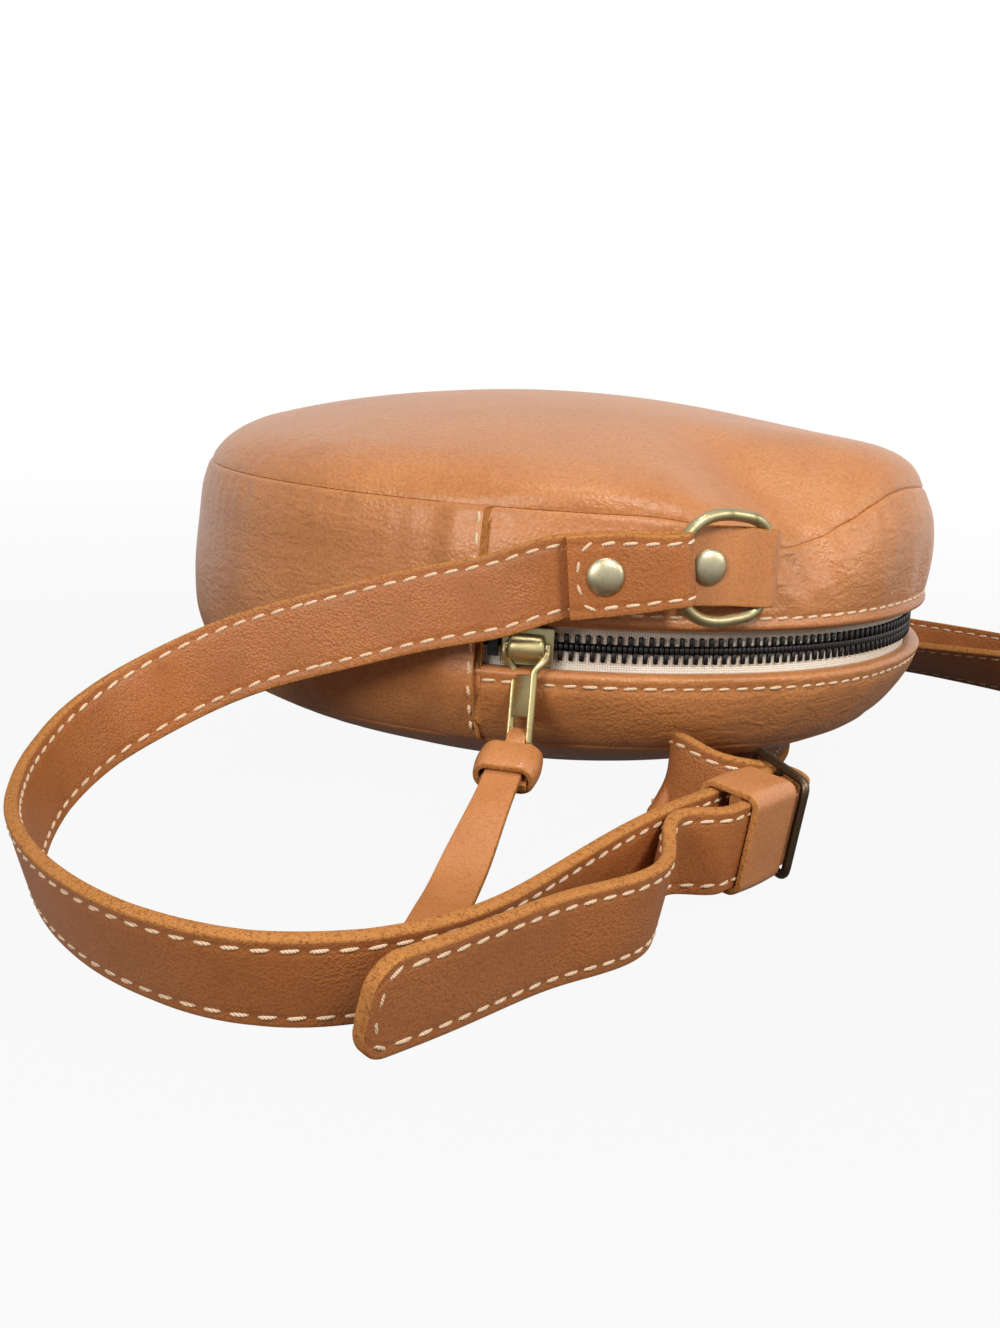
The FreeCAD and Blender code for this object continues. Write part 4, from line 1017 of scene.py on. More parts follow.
# %% The tree that repeats a pattern along a line
def repeat_tree():
    """Tree that puts a pattern object on evenly spaced points of an edge chain, turned to face outwards."""
    tree = bpy.data.node_groups.new("repeat_along_line", "GeometryNodeTree")
    sockets = {}
    tree.interface.new_socket("Geometry", in_out="INPUT", socket_type="NodeSocketGeometry")
    for label, kind in (
        ("Pattern", "NodeSocketObject"), ("Pitch", "NodeSocketFloat"), ("Slant", "NodeSocketFloat"),
        ("Jitter", "NodeSocketFloat"), ("Seed", "NodeSocketInt"), ("Finish", "NodeSocketMaterial"),
    ):
        socket = tree.interface.new_socket(label, in_out="INPUT", socket_type=kind)
        sockets[label] = socket.identifier
    tree.interface.new_socket("Geometry", in_out="OUTPUT", socket_type="NodeSocketGeometry")
    start = tree.nodes.new("NodeGroupInput").outputs
    end = tree.nodes.new("NodeGroupOutput")
    line = node(tree, "GeometryNodeMeshToCurve", None, None, {"Mesh": start["Geometry"]})
    spaced = node(
        tree, "GeometryNodeResampleCurve", {"mode": "LENGTH"}, None,
        {"Curve": line.outputs["Curve"], "Length": start["Pitch"]},
    )
    outward = node(
        tree, "GeometryNodeInputNamedAttribute", {"data_type": "FLOAT_VECTOR"}, {"Name": "outward"}
    )
    tangent = tree.nodes.new("GeometryNodeInputTangent")
    facing = node(
        tree, "FunctionNodeAxesToRotation", {"primary_axis": "Z", "secondary_axis": "X"}, None,
        {"Primary Axis": outward.outputs["Attribute"], "Secondary Axis": tangent.outputs["Tangent"]},
    )
    chance = node(
        tree, "FunctionNodeRandomValue", {"data_type": "FLOAT"}, {"Min": -1.0, "Max": 1.0},
        {"Seed": start["Seed"]},
    )
    wobble = math_node(tree, "MULTIPLY", chance.outputs[1], start["Jitter"])
    turn = math_node(tree, "ADD", wobble, start["Slant"])
    about = node(tree, "ShaderNodeCombineXYZ", None, None, {"Z": turn})
    twist = node(
        tree, "FunctionNodeRotateRotation", {"rotation_space": "LOCAL"}, None,
        {"Rotation": facing.outputs["Rotation"], "Rotate By": about.outputs["Vector"]},
    )
    pattern = node(tree, "GeometryNodeObjectInfo", None, {"As Instance": True}, {"Object": start["Pattern"]})
    copies = node(
        tree, "GeometryNodeInstanceOnPoints", None, None,
        {"Points": spaced.outputs["Curve"], "Instance": pattern.outputs["Geometry"],
         "Rotation": twist.outputs["Rotation"]},
    )
    real = node(tree, "GeometryNodeRealizeInstances", None, None, {"Geometry": copies.outputs["Instances"]})
    painted = node(
        tree, "GeometryNodeSetMaterial", None, None,
        {"Geometry": real.outputs["Geometry"], "Material": start["Finish"]},
    )
    tree.links.new(painted.outputs["Geometry"], end.inputs["Geometry"])
    return tree, sockets


repeat_nodes, repeat_sockets = repeat_tree()


def repeated(name, lines, pattern, pitch_mm, finish, slant=0.0, jitter=0.0, seed=1):
    """Copies of a pattern along lines, each given as points in millimetres and outward directions."""
    mesh = bpy.data.meshes.new(name)
    edges = []
    start = 0
    for points, directions in lines:
        edges += [(start + index, start + index + 1) for index in range(len(points) - 1)]
        start += len(points)
    places = np.vstack([points for points, directions in lines]) * MM
    mesh.from_pydata(places.tolist(), edges, [])
    layer = mesh.attributes.new("outward", "FLOAT_VECTOR", "POINT")
    layer.data.foreach_set("vector", np.vstack([unit(directions) for points, directions in lines]).ravel())
    thing = new_object(name, mesh)
    modifier = thing.modifiers.new("repeat", "NODES")
    modifier.node_group = repeat_nodes
    values = {
        "Pattern": pattern, "Pitch": pitch_mm * MM, "Slant": slant, "Jitter": jitter, "Seed": seed,
        "Finish": finish,
    }
    for label, value in values.items():
        modifier[repeat_sockets[label]] = value
    return finished(thing)


print("tree inputs:", list(repeat_sockets))

# %% Teeth and stops
tooth_pitch = 2.4
tooth_width = 1.08
tooth_depth = 3.0
tooth_reach = 3.1
tooth_overlap = 0.3
tooth_round = 0.22
slider_angle = -4.3
slider_length = 12.0
slider_neck = 2.4
end_room = 6.0
zip_points = 600
rounded_turn = 0.5


def bevelled(shape, width, segments=2):
    """Rounds the sharp edges of a bmesh."""
    sharp = [edge for edge in shape.edges if edge.calc_face_angle(0.0) > rounded_turn]
    bmesh.ops.bevel(shape, geom=sharp, offset=width * MM, segments=segments, profile=0.5, affect="EDGES")


def block(shape, low, high):
    """Adds a box between two corners in millimetres to a bmesh."""
    low, high = np.array(low, dtype=float) * MM, np.array(high, dtype=float) * MM
    made = bmesh.ops.create_cube(shape, size=1.0)["verts"]
    for vertex in made:
        vertex.co = Vector((low + high) / 2 + np.array(vertex.co) * (high - low))


def solid(name, shape, materials):
    """Object from a bmesh, with smooth faces where edges are rounded."""
    mesh = bpy.data.meshes.new(name)
    bmesh.ops.recalc_face_normals(shape, faces=shape.faces)
    smoothed(shape)
    shape.to_mesh(mesh)
    shape.free()
    for material in materials:
        mesh.materials.append(material)
    return new_object(name, mesh)


def tooth_pattern(side):
    """One clamped tooth: X along the zip, Y up or down to its tape, Z outwards."""
    shape = bmesh.new()
    wide, deep = tooth_width / 2, tooth_depth / 2
    slot = (tape_outer - tape_inner) / 2 + tooth_gap
    block(shape, (-wide, -tooth_head, -deep), (wide, tooth_head, deep))
    low, high = sorted((side * (tooth_head - tooth_overlap), side * tooth_reach))
    block(shape, (-wide, low, slot), (wide, high, deep))
    block(shape, (-wide, low, -deep), (wide, high, -slot))
    bevelled(shape, tooth_round, 1)
    return solid("tooth_pattern", shape, [tooth_metal])


def zip_line(first, last):
    """Line through the middle of the zip between two angles, with its outward directions."""
    angles = np.linspace(first, last, zip_points)
    return polar(tape_middle, angles, zip_mid_z), polar(1.0, angles, 0.0)


# The rows start where the neck of the construction's slider ends.
first_tooth = slider_angle - math.degrees((slider_length / 2 - slider_neck - tooth_pitch) / tape_middle)
last_tooth = zip_end - math.degrees(end_room / tape_middle)
tooth_step = math.degrees(tooth_pitch / tape_middle)
tooth_count = int((last_tooth - first_tooth) / tooth_step)
teeth_span = tooth_step * (tooth_count - 1)
for side, shift, label in ((1, 0.0, "front"), (-1, tooth_step / 2, "back")):
    pattern = tooth_pattern(side)
    line = zip_line(first_tooth + shift, first_tooth + shift + teeth_span)
    row = repeated("zip_teeth_" + label + "_row", [line], pattern, tooth_pitch, tooth_metal)
    bpy.data.objects.remove(pattern)
    carried(row, "bag", "zip_teeth", "zip_teeth_" + label)


def dress(node_name, material):
    """Gives a node of the frame, whose shape is right, a better finish."""
    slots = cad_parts[node_name].data.materials
    slots.clear()
    slots.append(material)


dress("zip_stops", tooth_metal)
print("teeth in each row:", tooth_count)

# %% [markdown]
# ## Straps
# The strap is two layers of leather sewn together: two smooth faces, two cut edges and a row of stitches
# along each edge. A curve with a bevel profile would twist at the folds, so the strap is swept here from its
# own width direction at each point: it stands on edge on the table, leans, lies flat under the bag and wraps
# round rings and bars. The section has a shallow groove under each row of stitches, because the thread pulls
# the leather in.

# %% Strap sections and paths
strap_width = 18.5
strap_thickness = 2.6
strap_round = 0.55
strap_creases = 0.12
stitch_inset = 2.2
stand_gap = 0.65
path_spacing = 0.8
face_points, edge_points = 29, 9
face_crown = 0.12
groove_depth, groove_width = 0.22, 0.55


def strap_outline(width, thickness, rounding, groove):
    """Closed section as across and depth pairs, and for each side 0 on a face or 1 on a cut edge."""
    half, deep = width / 2, thickness / 2
    across = np.linspace(-half + rounding, half - rounding, face_points)
    crown = face_crown * (1 - (across / half) ** 2)
    rows = half - stitch_inset
    dips = groove * (hill(across, rows, groove_width) + hill(across, -rows, groove_width))
    face = np.stack([across, deep + crown - dips], axis=1)
    turns = np.linspace(math.pi / 2, -math.pi / 2, edge_points)[1:-1]
    edge_x = half - rounding + rounding * np.cos(turns)
    edge_y = np.sign(np.sin(turns)) * (deep - rounding) + rounding * np.sin(turns)
    edge_y[len(turns) // 2] = 0.0
    edge = np.stack([edge_x, edge_y], axis=1)
    section = np.vstack([face, edge, face[::-1] * (1, -1), edge[::-1] * (-1, 1)])
    kinds = np.zeros(len(section), dtype=int)
    kinds[len(face) - 1:len(face) + len(edge)] = 1
    kinds[2 * len(face) + len(edge) - 1:] = 1
    return section, kinds


def smooth_path(points, axes, spacing):
    """Points on a smooth curve through the given ones, and their blended width directions."""
    points, axes = np.asarray(points, dtype=float), np.asarray(axes, dtype=float)
    steps = np.linalg.norm(np.diff(points, axis=0), axis=1)
    knots = np.concatenate([[0.0], np.cumsum(steps)])
    count = len(points)
    matrix, right = np.eye(count), np.zeros((count, 3))
    for index in range(1, count - 1):
        before, after = steps[index - 1], steps[index]
        matrix[index, index - 1:index + 2] = before, 2 * (before + after), after
        slope_after = (points[index + 1] - points[index]) / after
        slope_before = (points[index] - points[index - 1]) / before
        right[index] = 6 * (slope_after - slope_before)
    bend = np.linalg.solve(matrix, right)
    at = np.linspace(0.0, knots[-1], int(knots[-1] / spacing) + 1)
    low = np.clip(np.searchsorted(knots, at, side="right") - 1, 0, count - 2)
    span = steps[low][:, None]
    gone = (at - knots[low])[:, None]
    left = span - gone
    places = (bend[low] * left ** 3 + bend[low + 1] * gone ** 3) / (6 * span)
    places += (points[low] / span - bend[low] * span / 6) * left
    places += (points[low + 1] / span - bend[low + 1] * span / 6) * gone
    return places, (axes[low] * left + axes[low + 1] * gone) / span


class Path:
    """Middle line of a strap with its directions: ahead, across its width and out of its face."""

    def __init__(self, places, turns, widths):
        self.places = places
        ahead = unit(np.gradient(places, axis=0))
        self.across = unit(turns - ahead * np.sum(turns * ahead, axis=1, keepdims=True))
        self.normal = np.cross(ahead, self.across)
        steps = np.linalg.norm(np.diff(places, axis=0), axis=1)
        self.length = np.concatenate([[0.0], np.cumsum(steps)])
        self.widths = widths

    def at(self, values, length):
        """Values of a row blended at given lengths along the path."""
        return np.stack([np.interp(length, self.length, values[:, axis]) for axis in range(3)], axis=1)

    def on_face(self, length, across, side, height):
        """Points above a face at lengths along and offsets across, and the face's direction there."""
        out = unit(self.at(self.normal, length)) * side
        wide = unit(self.at(self.across, length))
        return self.at(self.places, length) + wide * across[:, None] + out * height, out


def strap_piece(name, path, outline_kinds, face_leather, first=0, last=None):
    """Solid strap between two rows of a path, from a section and its kinds of sides."""
    section, kinds = outline_kinds
    rows = slice(first, last)
    wide = path.widths[rows, None, None] / strap_width * section[None, :, :1]
    points = path.places[rows, None] + path.across[rows, None] * wide
    points = points + path.normal[rows, None] * section[None, :, 1:]
    count, columns = points.shape[:2]
    slots = np.concatenate([np.tile(kinds, count - 1), [1, 1]])
    creases = np.full(points.shape[:2], strap_creases)
    faces = tube_faces(count, columns)
    return new_piece(name, points, faces, [face_leather, cut_edge], slots, {"creases": creases})


strap_section = strap_outline(strap_width, strap_thickness, strap_round, groove_depth)
print("strap section points:", len(strap_section[0]))

# %% Ring places and the folds of the strap ends
leave_headings = {"left": 186.0, "right": 164.0}
leave_slope = 7.0
anchor_z = zip_high_z + 15.6
fold_reach = 8.3
anchor_leather, anchor_gap = 1.4, 0.15
ring_wire, ring_gap = 1.4, 0.2
ring_depth = 24.5
ring_lift = math.radians(11.0)
bar_out = anchor_gap + anchor_leather + ring_gap + ring_wire
fold_clearance = 0.25
fold_length = 24.0
fold_rivet = 8.0
fold_pinch = 11.0
fold_slack = 0.3
ply_gap = 0.3


def turned_about_z(points, angle):
    """Points turned about the bag's axis by degrees."""
    turn = math.radians(angle)
    x, y, z = np.moveaxis(np.asarray(points, dtype=float), -1, 0)
    turned_x = x * math.cos(turn) - y * math.sin(turn)
    turned_y = x * math.sin(turn) + y * math.cos(turn)
    return np.stack([turned_x, turned_y, z], axis=-1)


def seated(points, side):
    """Places points drawn on the front of the bag, x to the right and -y outwards, at the side's anchor."""
    points = np.array(points, dtype=float)
    if side == "right":
        points[..., 0] *= -1
    points = points + (0.0, -bag_radius, anchor_z)
    return turned_about_z(points, anchor_angles[side])


def heading_vector(heading, slope):
    """Direction at a heading counted from +X towards +Y, falling by a slope, both in degrees."""
    turn, fall = math.radians(heading), math.radians(slope)
    return np.array((math.cos(turn) * math.cos(fall), math.sin(turn) * math.cos(fall), -math.sin(fall)))


def half_turn(centre, along, across, radius, steps=12):
    """Points round a fold, from +across to -across by way of along."""
    turns = np.linspace(0.0, math.pi, steps + 1)[:, None]
    return list(centre + across * radius * np.cos(turns) + along * radius * np.sin(turns))


def leaving(side):
    """Middle of the ring's curved side, and the strap's directions there: along, outward and across."""
    reach = fold_reach - ring_depth * math.cos(ring_lift)
    place = seated((reach, -bar_out - ring_depth * math.sin(ring_lift), 0.0), side)
    along = heading_vector(leave_headings[side], leave_slope)
    outward = np.array((place[0], place[1], 0.0))
    outward = unit(outward - along * outward.dot(along))
    across = np.cross(outward, along)
    return place, along, outward, across if across[2] > 0 else -across


def ring_fold(side):
    """Points of a strap's folded end: outer layer, turn round the ring, start of the strap."""
    place, along, outward = leaving(side)[:3]
    wide = ring_wire + fold_clearance + strap_thickness / 2
    thin = (strap_thickness + ply_gap) / 2
    rise = (wide - thin) / 5
    layers = (
        (fold_length, thin), (fold_length * 0.75, thin), (fold_length * 0.5, thin),
        (fold_pinch, thin + rise), (fold_pinch / 2, wide - rise),
    )
    outer = [place + along * reach + outward * height for reach, height in layers]
    inner = [point - outward * (2 * (point - place).dot(outward)) for point in reversed(outer)]
    return outer + half_turn(place + along * fold_slack, -along, outward, wide) + inner


for side in anchor_angles:
    print(side, "ring's curve at", np.round(leaving(side)[0], 1))

# %% Routes of the straps
# x, y and lift as shares of the bag's radius, and the lean in degrees: 0 stands on edge, 90 lies flat.
left_route_shares = (
    (-0.141, -1.065, 0.445, 6), (-0.271, -1.055, 0.410, 6), (-0.493, -1.030, 0.340, 7),
    (-0.719, -1.005, 0.257, 8), (-0.894, -1.025, 0.166, 9), (-1.000, -1.115, 0.100, 10),
    (-1.056, -1.290, 0.038, 12), (-1.035, -1.540, 0.0, 15), (-0.962, -1.762, 0.0, 18),
    (-0.847, -1.960, 0.0, 20), (-0.658, -2.148, 0.0, 22), (-0.464, -2.224, 0.0, 22),
    (-0.298, -2.188, 0.0, 21), (-0.180, -2.105, 0.0, 18), (-0.021, -1.877, 0.004, 13),
    (0.120, -1.660, 0.026, 10),
)
right_route_shares = (
    (-0.040, 1.225, 0.395, -6), (-0.220, 1.310, 0.305, -7), (-0.335, 1.435, 0.200, -9),
    (-0.340, 1.585, 0.100, -11), (-0.225, 1.700, 0.025, -12), (-0.030, 1.740, 0.0, -12),
    (0.250, 1.715, 0.0, -12), (0.580, 1.625, 0.0, -12), (0.900, 1.490, 0.0, -14),
    (1.180, 1.335, 0.0, -18), (1.380, 1.200, 0.0, -16), (1.560, 1.050, 0.0, -12),
    (1.720, 0.920, 0.0, -10), (1.830, 0.830, 0.0, -14), (1.790, 0.745, 0.0, -22),
    (1.660, 0.795, 0.0, -32), (1.480, 0.950, 0.0, -42), (1.290, 1.115, 0.0, -50),
    (1.100, 1.205, 0.0, -58), (0.930, 1.160, 0.0, -66), (0.805, 0.990, 0.0, -74),
    (0.725, 0.740, 0.0, -82), (0.665, 0.450, 0.0, -87), (0.620, 0.160, 0.0, -89),
    (0.580, -0.130, 0.0, -89), (0.505, -0.400, 0.0, -86), (0.425, -0.640, 0.0, -76),
    (0.355, -0.860, 0.005, -46), (0.300, -0.990, 0.005, -20),
)
tail_route_shares = (
    (0.235, -1.545, 0.034, -8), (0.205, -1.660, 0.010, -10), (0.185, -1.770, 0.0, -11),
    (0.120, -1.870, 0.0, -12), (0.030, -1.955, 0.0, -12), (-0.065, -2.070, 0.0, -12),
    (-0.160, -2.195, 0.0, -12), (-0.240, -2.290, 0.0, -12),
)


def width_axis(ahead, lean):
    """Direction of a strap's width, leaning to the right of travel by degrees."""
    side = unit(np.cross(ahead, UP))
    turn = math.radians(lean)
    return np.cross(side, ahead) * math.cos(turn) + side * math.sin(turn)


def route(shares):
    """Middle points of a strap along a route, and its width directions."""
    turns = np.radians(np.abs([share[3] for share in shares]))
    rest = (strap_width * np.cos(turns) + strap_thickness * np.sin(turns)) / 2 + stand_gap
    points = np.array([share[:3] for share in shares]) * bag_radius
    points[:, 2] += rest
    axes = []
    for index, share in enumerate(shares):
        ahead = points[min(index + 1, len(points) - 1)] - points[max(index - 1, 0)]
        axis = width_axis(unit(ahead), share[3])
        axes.append(axis if axis[2] > 0 else -axis)
    return list(points), axes


print("route points:", [len(shares) for shares in (left_route_shares, right_route_shares, tail_route_shares)])

# %% Where the straps meet
joint_heading, joint_lean = 54.9, 8.0
joint_place_shares = (0.300, -1.456)
buckle_entry_shares = ((-0.005, 1.32), (-0.108, 0.946), (-0.068, 0.53))
keeper_setback, keeper_length, keeper_wall, keeper_room = 5.0, 17.0, 1.3, 0.4
buckle_reach, buckle_bar, buckle_wire, buckle_depth, buckle_room = 29.5, 0.8, 2.0, 10.0, 0.4
buckle_turn = math.radians(30.0)
bar_gap = 0.3
loop_offset = buckle_bar + bar_gap + strap_thickness / 2
front_layer = -loop_offset - strap_thickness - ply_gap
buckle_half = strap_width / 2 + buckle_room + buckle_wire
behind_keeper, beside_buckle = 14.0, 23.0
left_straight, right_straight = -7.0, 2.0
entry_turn = 45.0

joint_along = heading_vector(joint_heading, 0.0)
joint_across = width_axis(joint_along, joint_lean)
joint_back = np.cross(joint_across, joint_along)
front_edge = buckle_depth * math.cos(buckle_turn) + buckle_wire
joint_height = buckle_half * math.cos(math.radians(joint_lean)) + stand_gap
joint_height += front_edge * math.sin(math.radians(joint_lean))
joint_origin = np.array((*(np.array(joint_place_shares) * bag_radius), joint_height))


def at_joint(points):
    """Points given along, behind and across the straps' joint."""
    points = np.asarray(points, dtype=float)
    return joint_origin + points @ np.stack([joint_along, joint_back, joint_across])


print("straps meet at", np.round(joint_origin, 1))

# %% Paths of the straps
tail_round, tail_round_turn, tail_round_rows = 6.0, 88.0, 12
cupped_share, cupped_reach = 0.14, 9.0


def narrowed(places, side):
    """Widths along a strap, less where its end is cupped round the ring."""
    nearness = hill(np.linalg.norm(places - leaving(side)[0], axis=1), 0.0, cupped_reach)
    return strap_width * (1.0 - cupped_share * nearness)


def left_path():
    """Path of the left strap: ring, loop on the table, keeper, round the buckle's bar and back."""
    fold = ring_fold("left")
    across = leaving("left")[3]
    points, axes = route(left_route_shares)
    ahead = (left_straight, 0.0, keeper_setback, behind_keeper, beside_buckle)
    bar = at_joint((buckle_reach, 0.0, 0.0))
    end = [at_joint((x, loop_offset, 0.0)) for x in ahead]
    end += half_turn(bar, joint_along, joint_back, loop_offset, 8)
    back = (beside_buckle, behind_keeper, keeper_setback + keeper_wall)
    end += [at_joint((x, -loop_offset, 0.0)) for x in back]
    axes = [across] * len(fold) + axes + [joint_across] * len(end)
    places, turns = smooth_path(fold + points + end, axes, path_spacing)
    return Path(places, turns, narrowed(places, "left"))


def right_path():
    """Path of the right strap: ring, behind and under the bag, buckle, keeper and tail."""
    fold = ring_fold("right")
    across = leaving("right")[3]
    points, axes = route(right_route_shares)
    joint = [at_joint((buckle_reach + x * strap_width, y * strap_width, 0.0)) for x, y in buckle_entry_shares]
    for turn in np.radians(np.linspace(entry_turn, -90.0, 9)):
        along, behind = buckle_reach - front_layer * math.cos(turn), -front_layer * math.sin(turn)
        joint.append(at_joint((along, behind, 0.0)))
    back = (beside_buckle, behind_keeper, keeper_setback, right_straight, 0.0)
    joint += [at_joint((x, front_layer, 0.0)) for x in back]
    tail, tail_axes = route(tail_route_shares)
    axes = [across] * len(fold) + axes + [joint_across] * len(joint) + tail_axes
    places, turns = smooth_path(fold + points + joint + tail, axes, path_spacing)
    ahead = unit(places[-1] - places[-2])
    round_turns = np.radians(np.linspace(0.0, tail_round_turn, tail_round_rows)[1:])
    places = np.vstack([places, places[-1] + ahead * tail_round * np.sin(round_turns)[:, None]])
    turns = np.vstack([turns, np.repeat(turns[-1:], len(round_turns), axis=0)])
    widths = narrowed(places, "right")
    widths[-len(round_turns):] -= 2 * tail_round * (1 - np.cos(round_turns))
    return Path(places, turns, widths)


paths = {"left": left_path(), "right": right_path()}
for side, path in paths.items():
    print(side, "strap is", round(path.length[-1]), "mm long")

# %% Strap pieces
bend_length = 55.0
end_piece_length = 2 * fold_length + 12.0 + bend_length


def swings_with_ring(thing, side):
    """Bakes a strap end's place into its mesh."""
    place, along = leaving(side)[:2]
    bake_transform(thing)
    print(thing.name, "on", side + "_ring and bag with", len(thing.data.polygons), "faces")


for side, path in paths.items():
    cut = int(np.searchsorted(path.length, end_piece_length))
    end_piece = strap_piece(side + "_strap_end", path, strap_section, strap_leather, 0, cut + 1)
    swings_with_ring(end_piece, side)
    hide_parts(side + "_strap")
    run = strap_piece(side + "_strap_run", path, strap_section, strap_leather, cut)
    carried(run, "bag", "leather_strap")

# %% [markdown]
# ## Stitches
# A saddle stitch shows as short slanting dashes of waxed thread, sunk at both ends. Hundreds of them follow
# the straps, the zip and the lap of the gusset. Each row is a line on the surface with its outward
# directions, and the same tree that repeats the teeth puts one small rounded stitch at every pitch, with a
# little fixed irregularity.

# %% Stitch pattern and lines
stitch_length, stitch_radius, stitch_pitch = 3.5, 0.35, 4.6
stitch_sides, stitch_rows = 8, 9
stitch_flatness, stitch_sink, stitch_tip = 1.15, 0.75, 0.08
stitch_height = strap_thickness / 2 - 0.08
stitch_edge = strap_width / 2 - stitch_inset
end_corner, end_reach = 3.6, 9.0
lip_stitch_low, lip_stitch_high, lip_stitch_sink = 3.2, 3.4, 0.2
lap_stitch_turn, lap_stitch_sink, lap_stitch_room = 1.4, 0.05, 3.0


def stitch_pattern():
    """One stitch: a rounded bar along X, arched so that its ends sink in."""
    turns = np.linspace(0.0, math.tau, stitch_sides, endpoint=False)
    rows = []
    for station in np.linspace(-1.0, 1.0, stitch_rows):
        thick = stitch_radius * max(1.0 - abs(station) ** 4, stitch_tip) ** 0.5
        sink = -stitch_sink * stitch_radius * abs(station) ** 2.5
        along = np.full(stitch_sides, station * stitch_length / 2)
        ring = [along, thick * stitch_flatness * np.cos(turns), sink + thick * np.sin(turns)]
        rows.append(np.stack(ring, axis=1))
    return new_piece("stitch_pattern", np.stack(rows), tube_faces(stitch_rows, stitch_sides), [pale_thread])


def strap_rows(path, first, last, side):
    """Two lines of stitches on one face of a strap between two lengths."""
    length = np.arange(first, last, 1.0)
    share = np.interp(length, path.length, path.widths) / strap_width
    edges = (stitch_edge, -stitch_edge)
    return [path.on_face(length, across * share, side, stitch_height) for across in edges]


def end_row(path, end_length, inward, side):
    """Line of stitches round a free end: in along one edge, across and back along the other."""
    turns = np.radians(np.linspace(0.0, 90.0, 9))
    down = np.linspace(end_reach, stitch_inset + end_corner, 8)[:-1]
    bend = stitch_inset + end_corner * (1 - np.sin(turns))
    edge = np.full(len(down), stitch_edge)
    side_bend = stitch_edge - end_corner * (1 - np.cos(turns))
    from_end = np.concatenate([down, bend, bend[::-1], down[::-1]])
    across = np.concatenate([edge, side_bend, -side_bend[::-1], -edge])
    return path.on_face(end_length + inward * from_end, across, side, stitch_height)


def wall_line(angles, heights, lift):
    """Line on the bag's sagged wall, with its outward directions."""
    angles, heights = np.broadcast_arrays(angles, heights)
    radius, z = slump(np.full(len(angles), bag_radius + lift), angles, heights)
    return polar(radius, angles, z), polar(1.0, angles, 0.0)


pattern = stitch_pattern()
print("faces of one stitch:", len(pattern.data.polygons))

# %% Stitch rows
for side, path in paths.items():
    total = path.length[-1]
    ends, runs = [], []
    for face in (1, -1):
        ends += strap_rows(path, end_reach, end_piece_length, face)
        ends.append(end_row(path, 0.0, 1, face))
        last = total - (end_reach if side == "right" else 3.0)
        runs += strap_rows(path, end_piece_length + stitch_pitch / 2, last, face)
        if side == "right":
            runs.append(end_row(path, total, -1, face))
    end_stitches = repeated(
        side + "_strap_end_stitches", ends, pattern, stitch_pitch, pale_thread,
        slant=0.09, jitter=0.05, seed=3,
    )
    swings_with_ring(end_stitches, side)
    run_stitches = repeated(
        side + "_strap_run_stitches", runs, pattern, stitch_pitch, pale_thread,
        slant=0.09, jitter=0.05, seed=5,
    )
    carried(run_stitches, "bag", "leather_strap")

lip_angles = np.linspace(zip_start + 1.0, zip_end - 1.0, 700)
lip_heights = (zip_low_z - lip_stitch_low, zip_high_z + lip_stitch_high)
lip_lines = [wall_line(lip_angles, height, -lip_stitch_sink) for height in lip_heights]
zip_stitches = repeated(
    "zip_stitches", lip_lines, pattern, stitch_pitch, pale_thread, slant=0.06, jitter=0.04, seed=7
)
carried(zip_stitches, "bag", "leather_body")
lap_heights = np.linspace(back_seam_z + lap_stitch_room, front_seam_z - lap_stitch_room, 60)
lap_angles = (zip_start - lap_stitch_turn, zip_end + lap_stitch_turn)
lap_lines = [wall_line(angle, lap_heights, lap_lift - lap_stitch_sink) for angle in lap_angles]
lap_stitches = repeated(
    "lap_stitches", lap_lines, pattern, stitch_pitch, pale_thread, slant=0.09, jitter=0.05, seed=8
)
carried(lap_stitches, "bag", "leather_body")
bpy.data.objects.remove(pattern)

# %% [markdown]
# ## Wire and turned fittings
# The rings, the buckle and the prongs of the zip pull are bent wire, and the rivets are turned caps. A
# bevelled curve would make the wire, but a section swept with a fixed side direction never twists and can be
# flattened. A rivet is a profile turned round its axis, with the small rolled rim that makes the dark line
# round a real one.

# %% Wire and turned shapes
def wire(name, points, side, wide, deep, material, closed=False, sides=14):
    """Bar of oval section along points in millimetres; wide is measured along the side direction."""
    points = np.asarray(points, dtype=float)
    if closed:
        ahead = unit(np.roll(points, -1, axis=0) - np.roll(points, 1, axis=0))
    else:
        ahead = unit(np.gradient(points, axis=0))
    across = unit(side - ahead * np.sum(side * ahead, axis=1, keepdims=True))
    out = np.cross(ahead, across)
    turns = np.linspace(0.0, math.tau, sides, endpoint=False)
    ring = across[:, None] * (wide * np.cos(turns))[None, :, None]
    ring = ring + out[:, None] * (deep * np.sin(turns))[None, :, None]
    return new_piece(name, points[:, None] + ring, tube_faces(len(points), sides, closed), [material])


def turned_cap(name, profile, place, axis, material, sides=40):
    """Radius and height pairs turned round an axis through a place; they start and end on the axis."""
    axis = unit(axis)
    first = unit(np.cross(axis, UP))
    second = np.cross(axis, first)
    turns = np.linspace(0.0, math.tau, sides, endpoint=False)
    spokes = first * np.cos(turns)[:, None] + second * np.sin(turns)[:, None]
    profile = np.asarray(profile, dtype=float)
    points = place + spokes[None] * profile[:, 0, None, None] + axis * profile[:, 1, None, None]
    return new_piece(name, points, ring_quads(len(profile), sides), [material])


print("fitting makers:", wire.__name__, turned_cap.__name__)

# %% Rivets
rivet_radius, rivet_height = 4.1, 1.8
rivet_post, rivet_back, rivet_gap = 1.5, 0.9, 0.1
dome_edge_turn, dome_edge_share, dome_edge_height, dome_rows = 14.0, 0.97, 0.55, 12
dome_rise = rivet_height - 0.7
anchor_rivet_reach = 5.5
anchor_rivet_inside = leather + 0.48


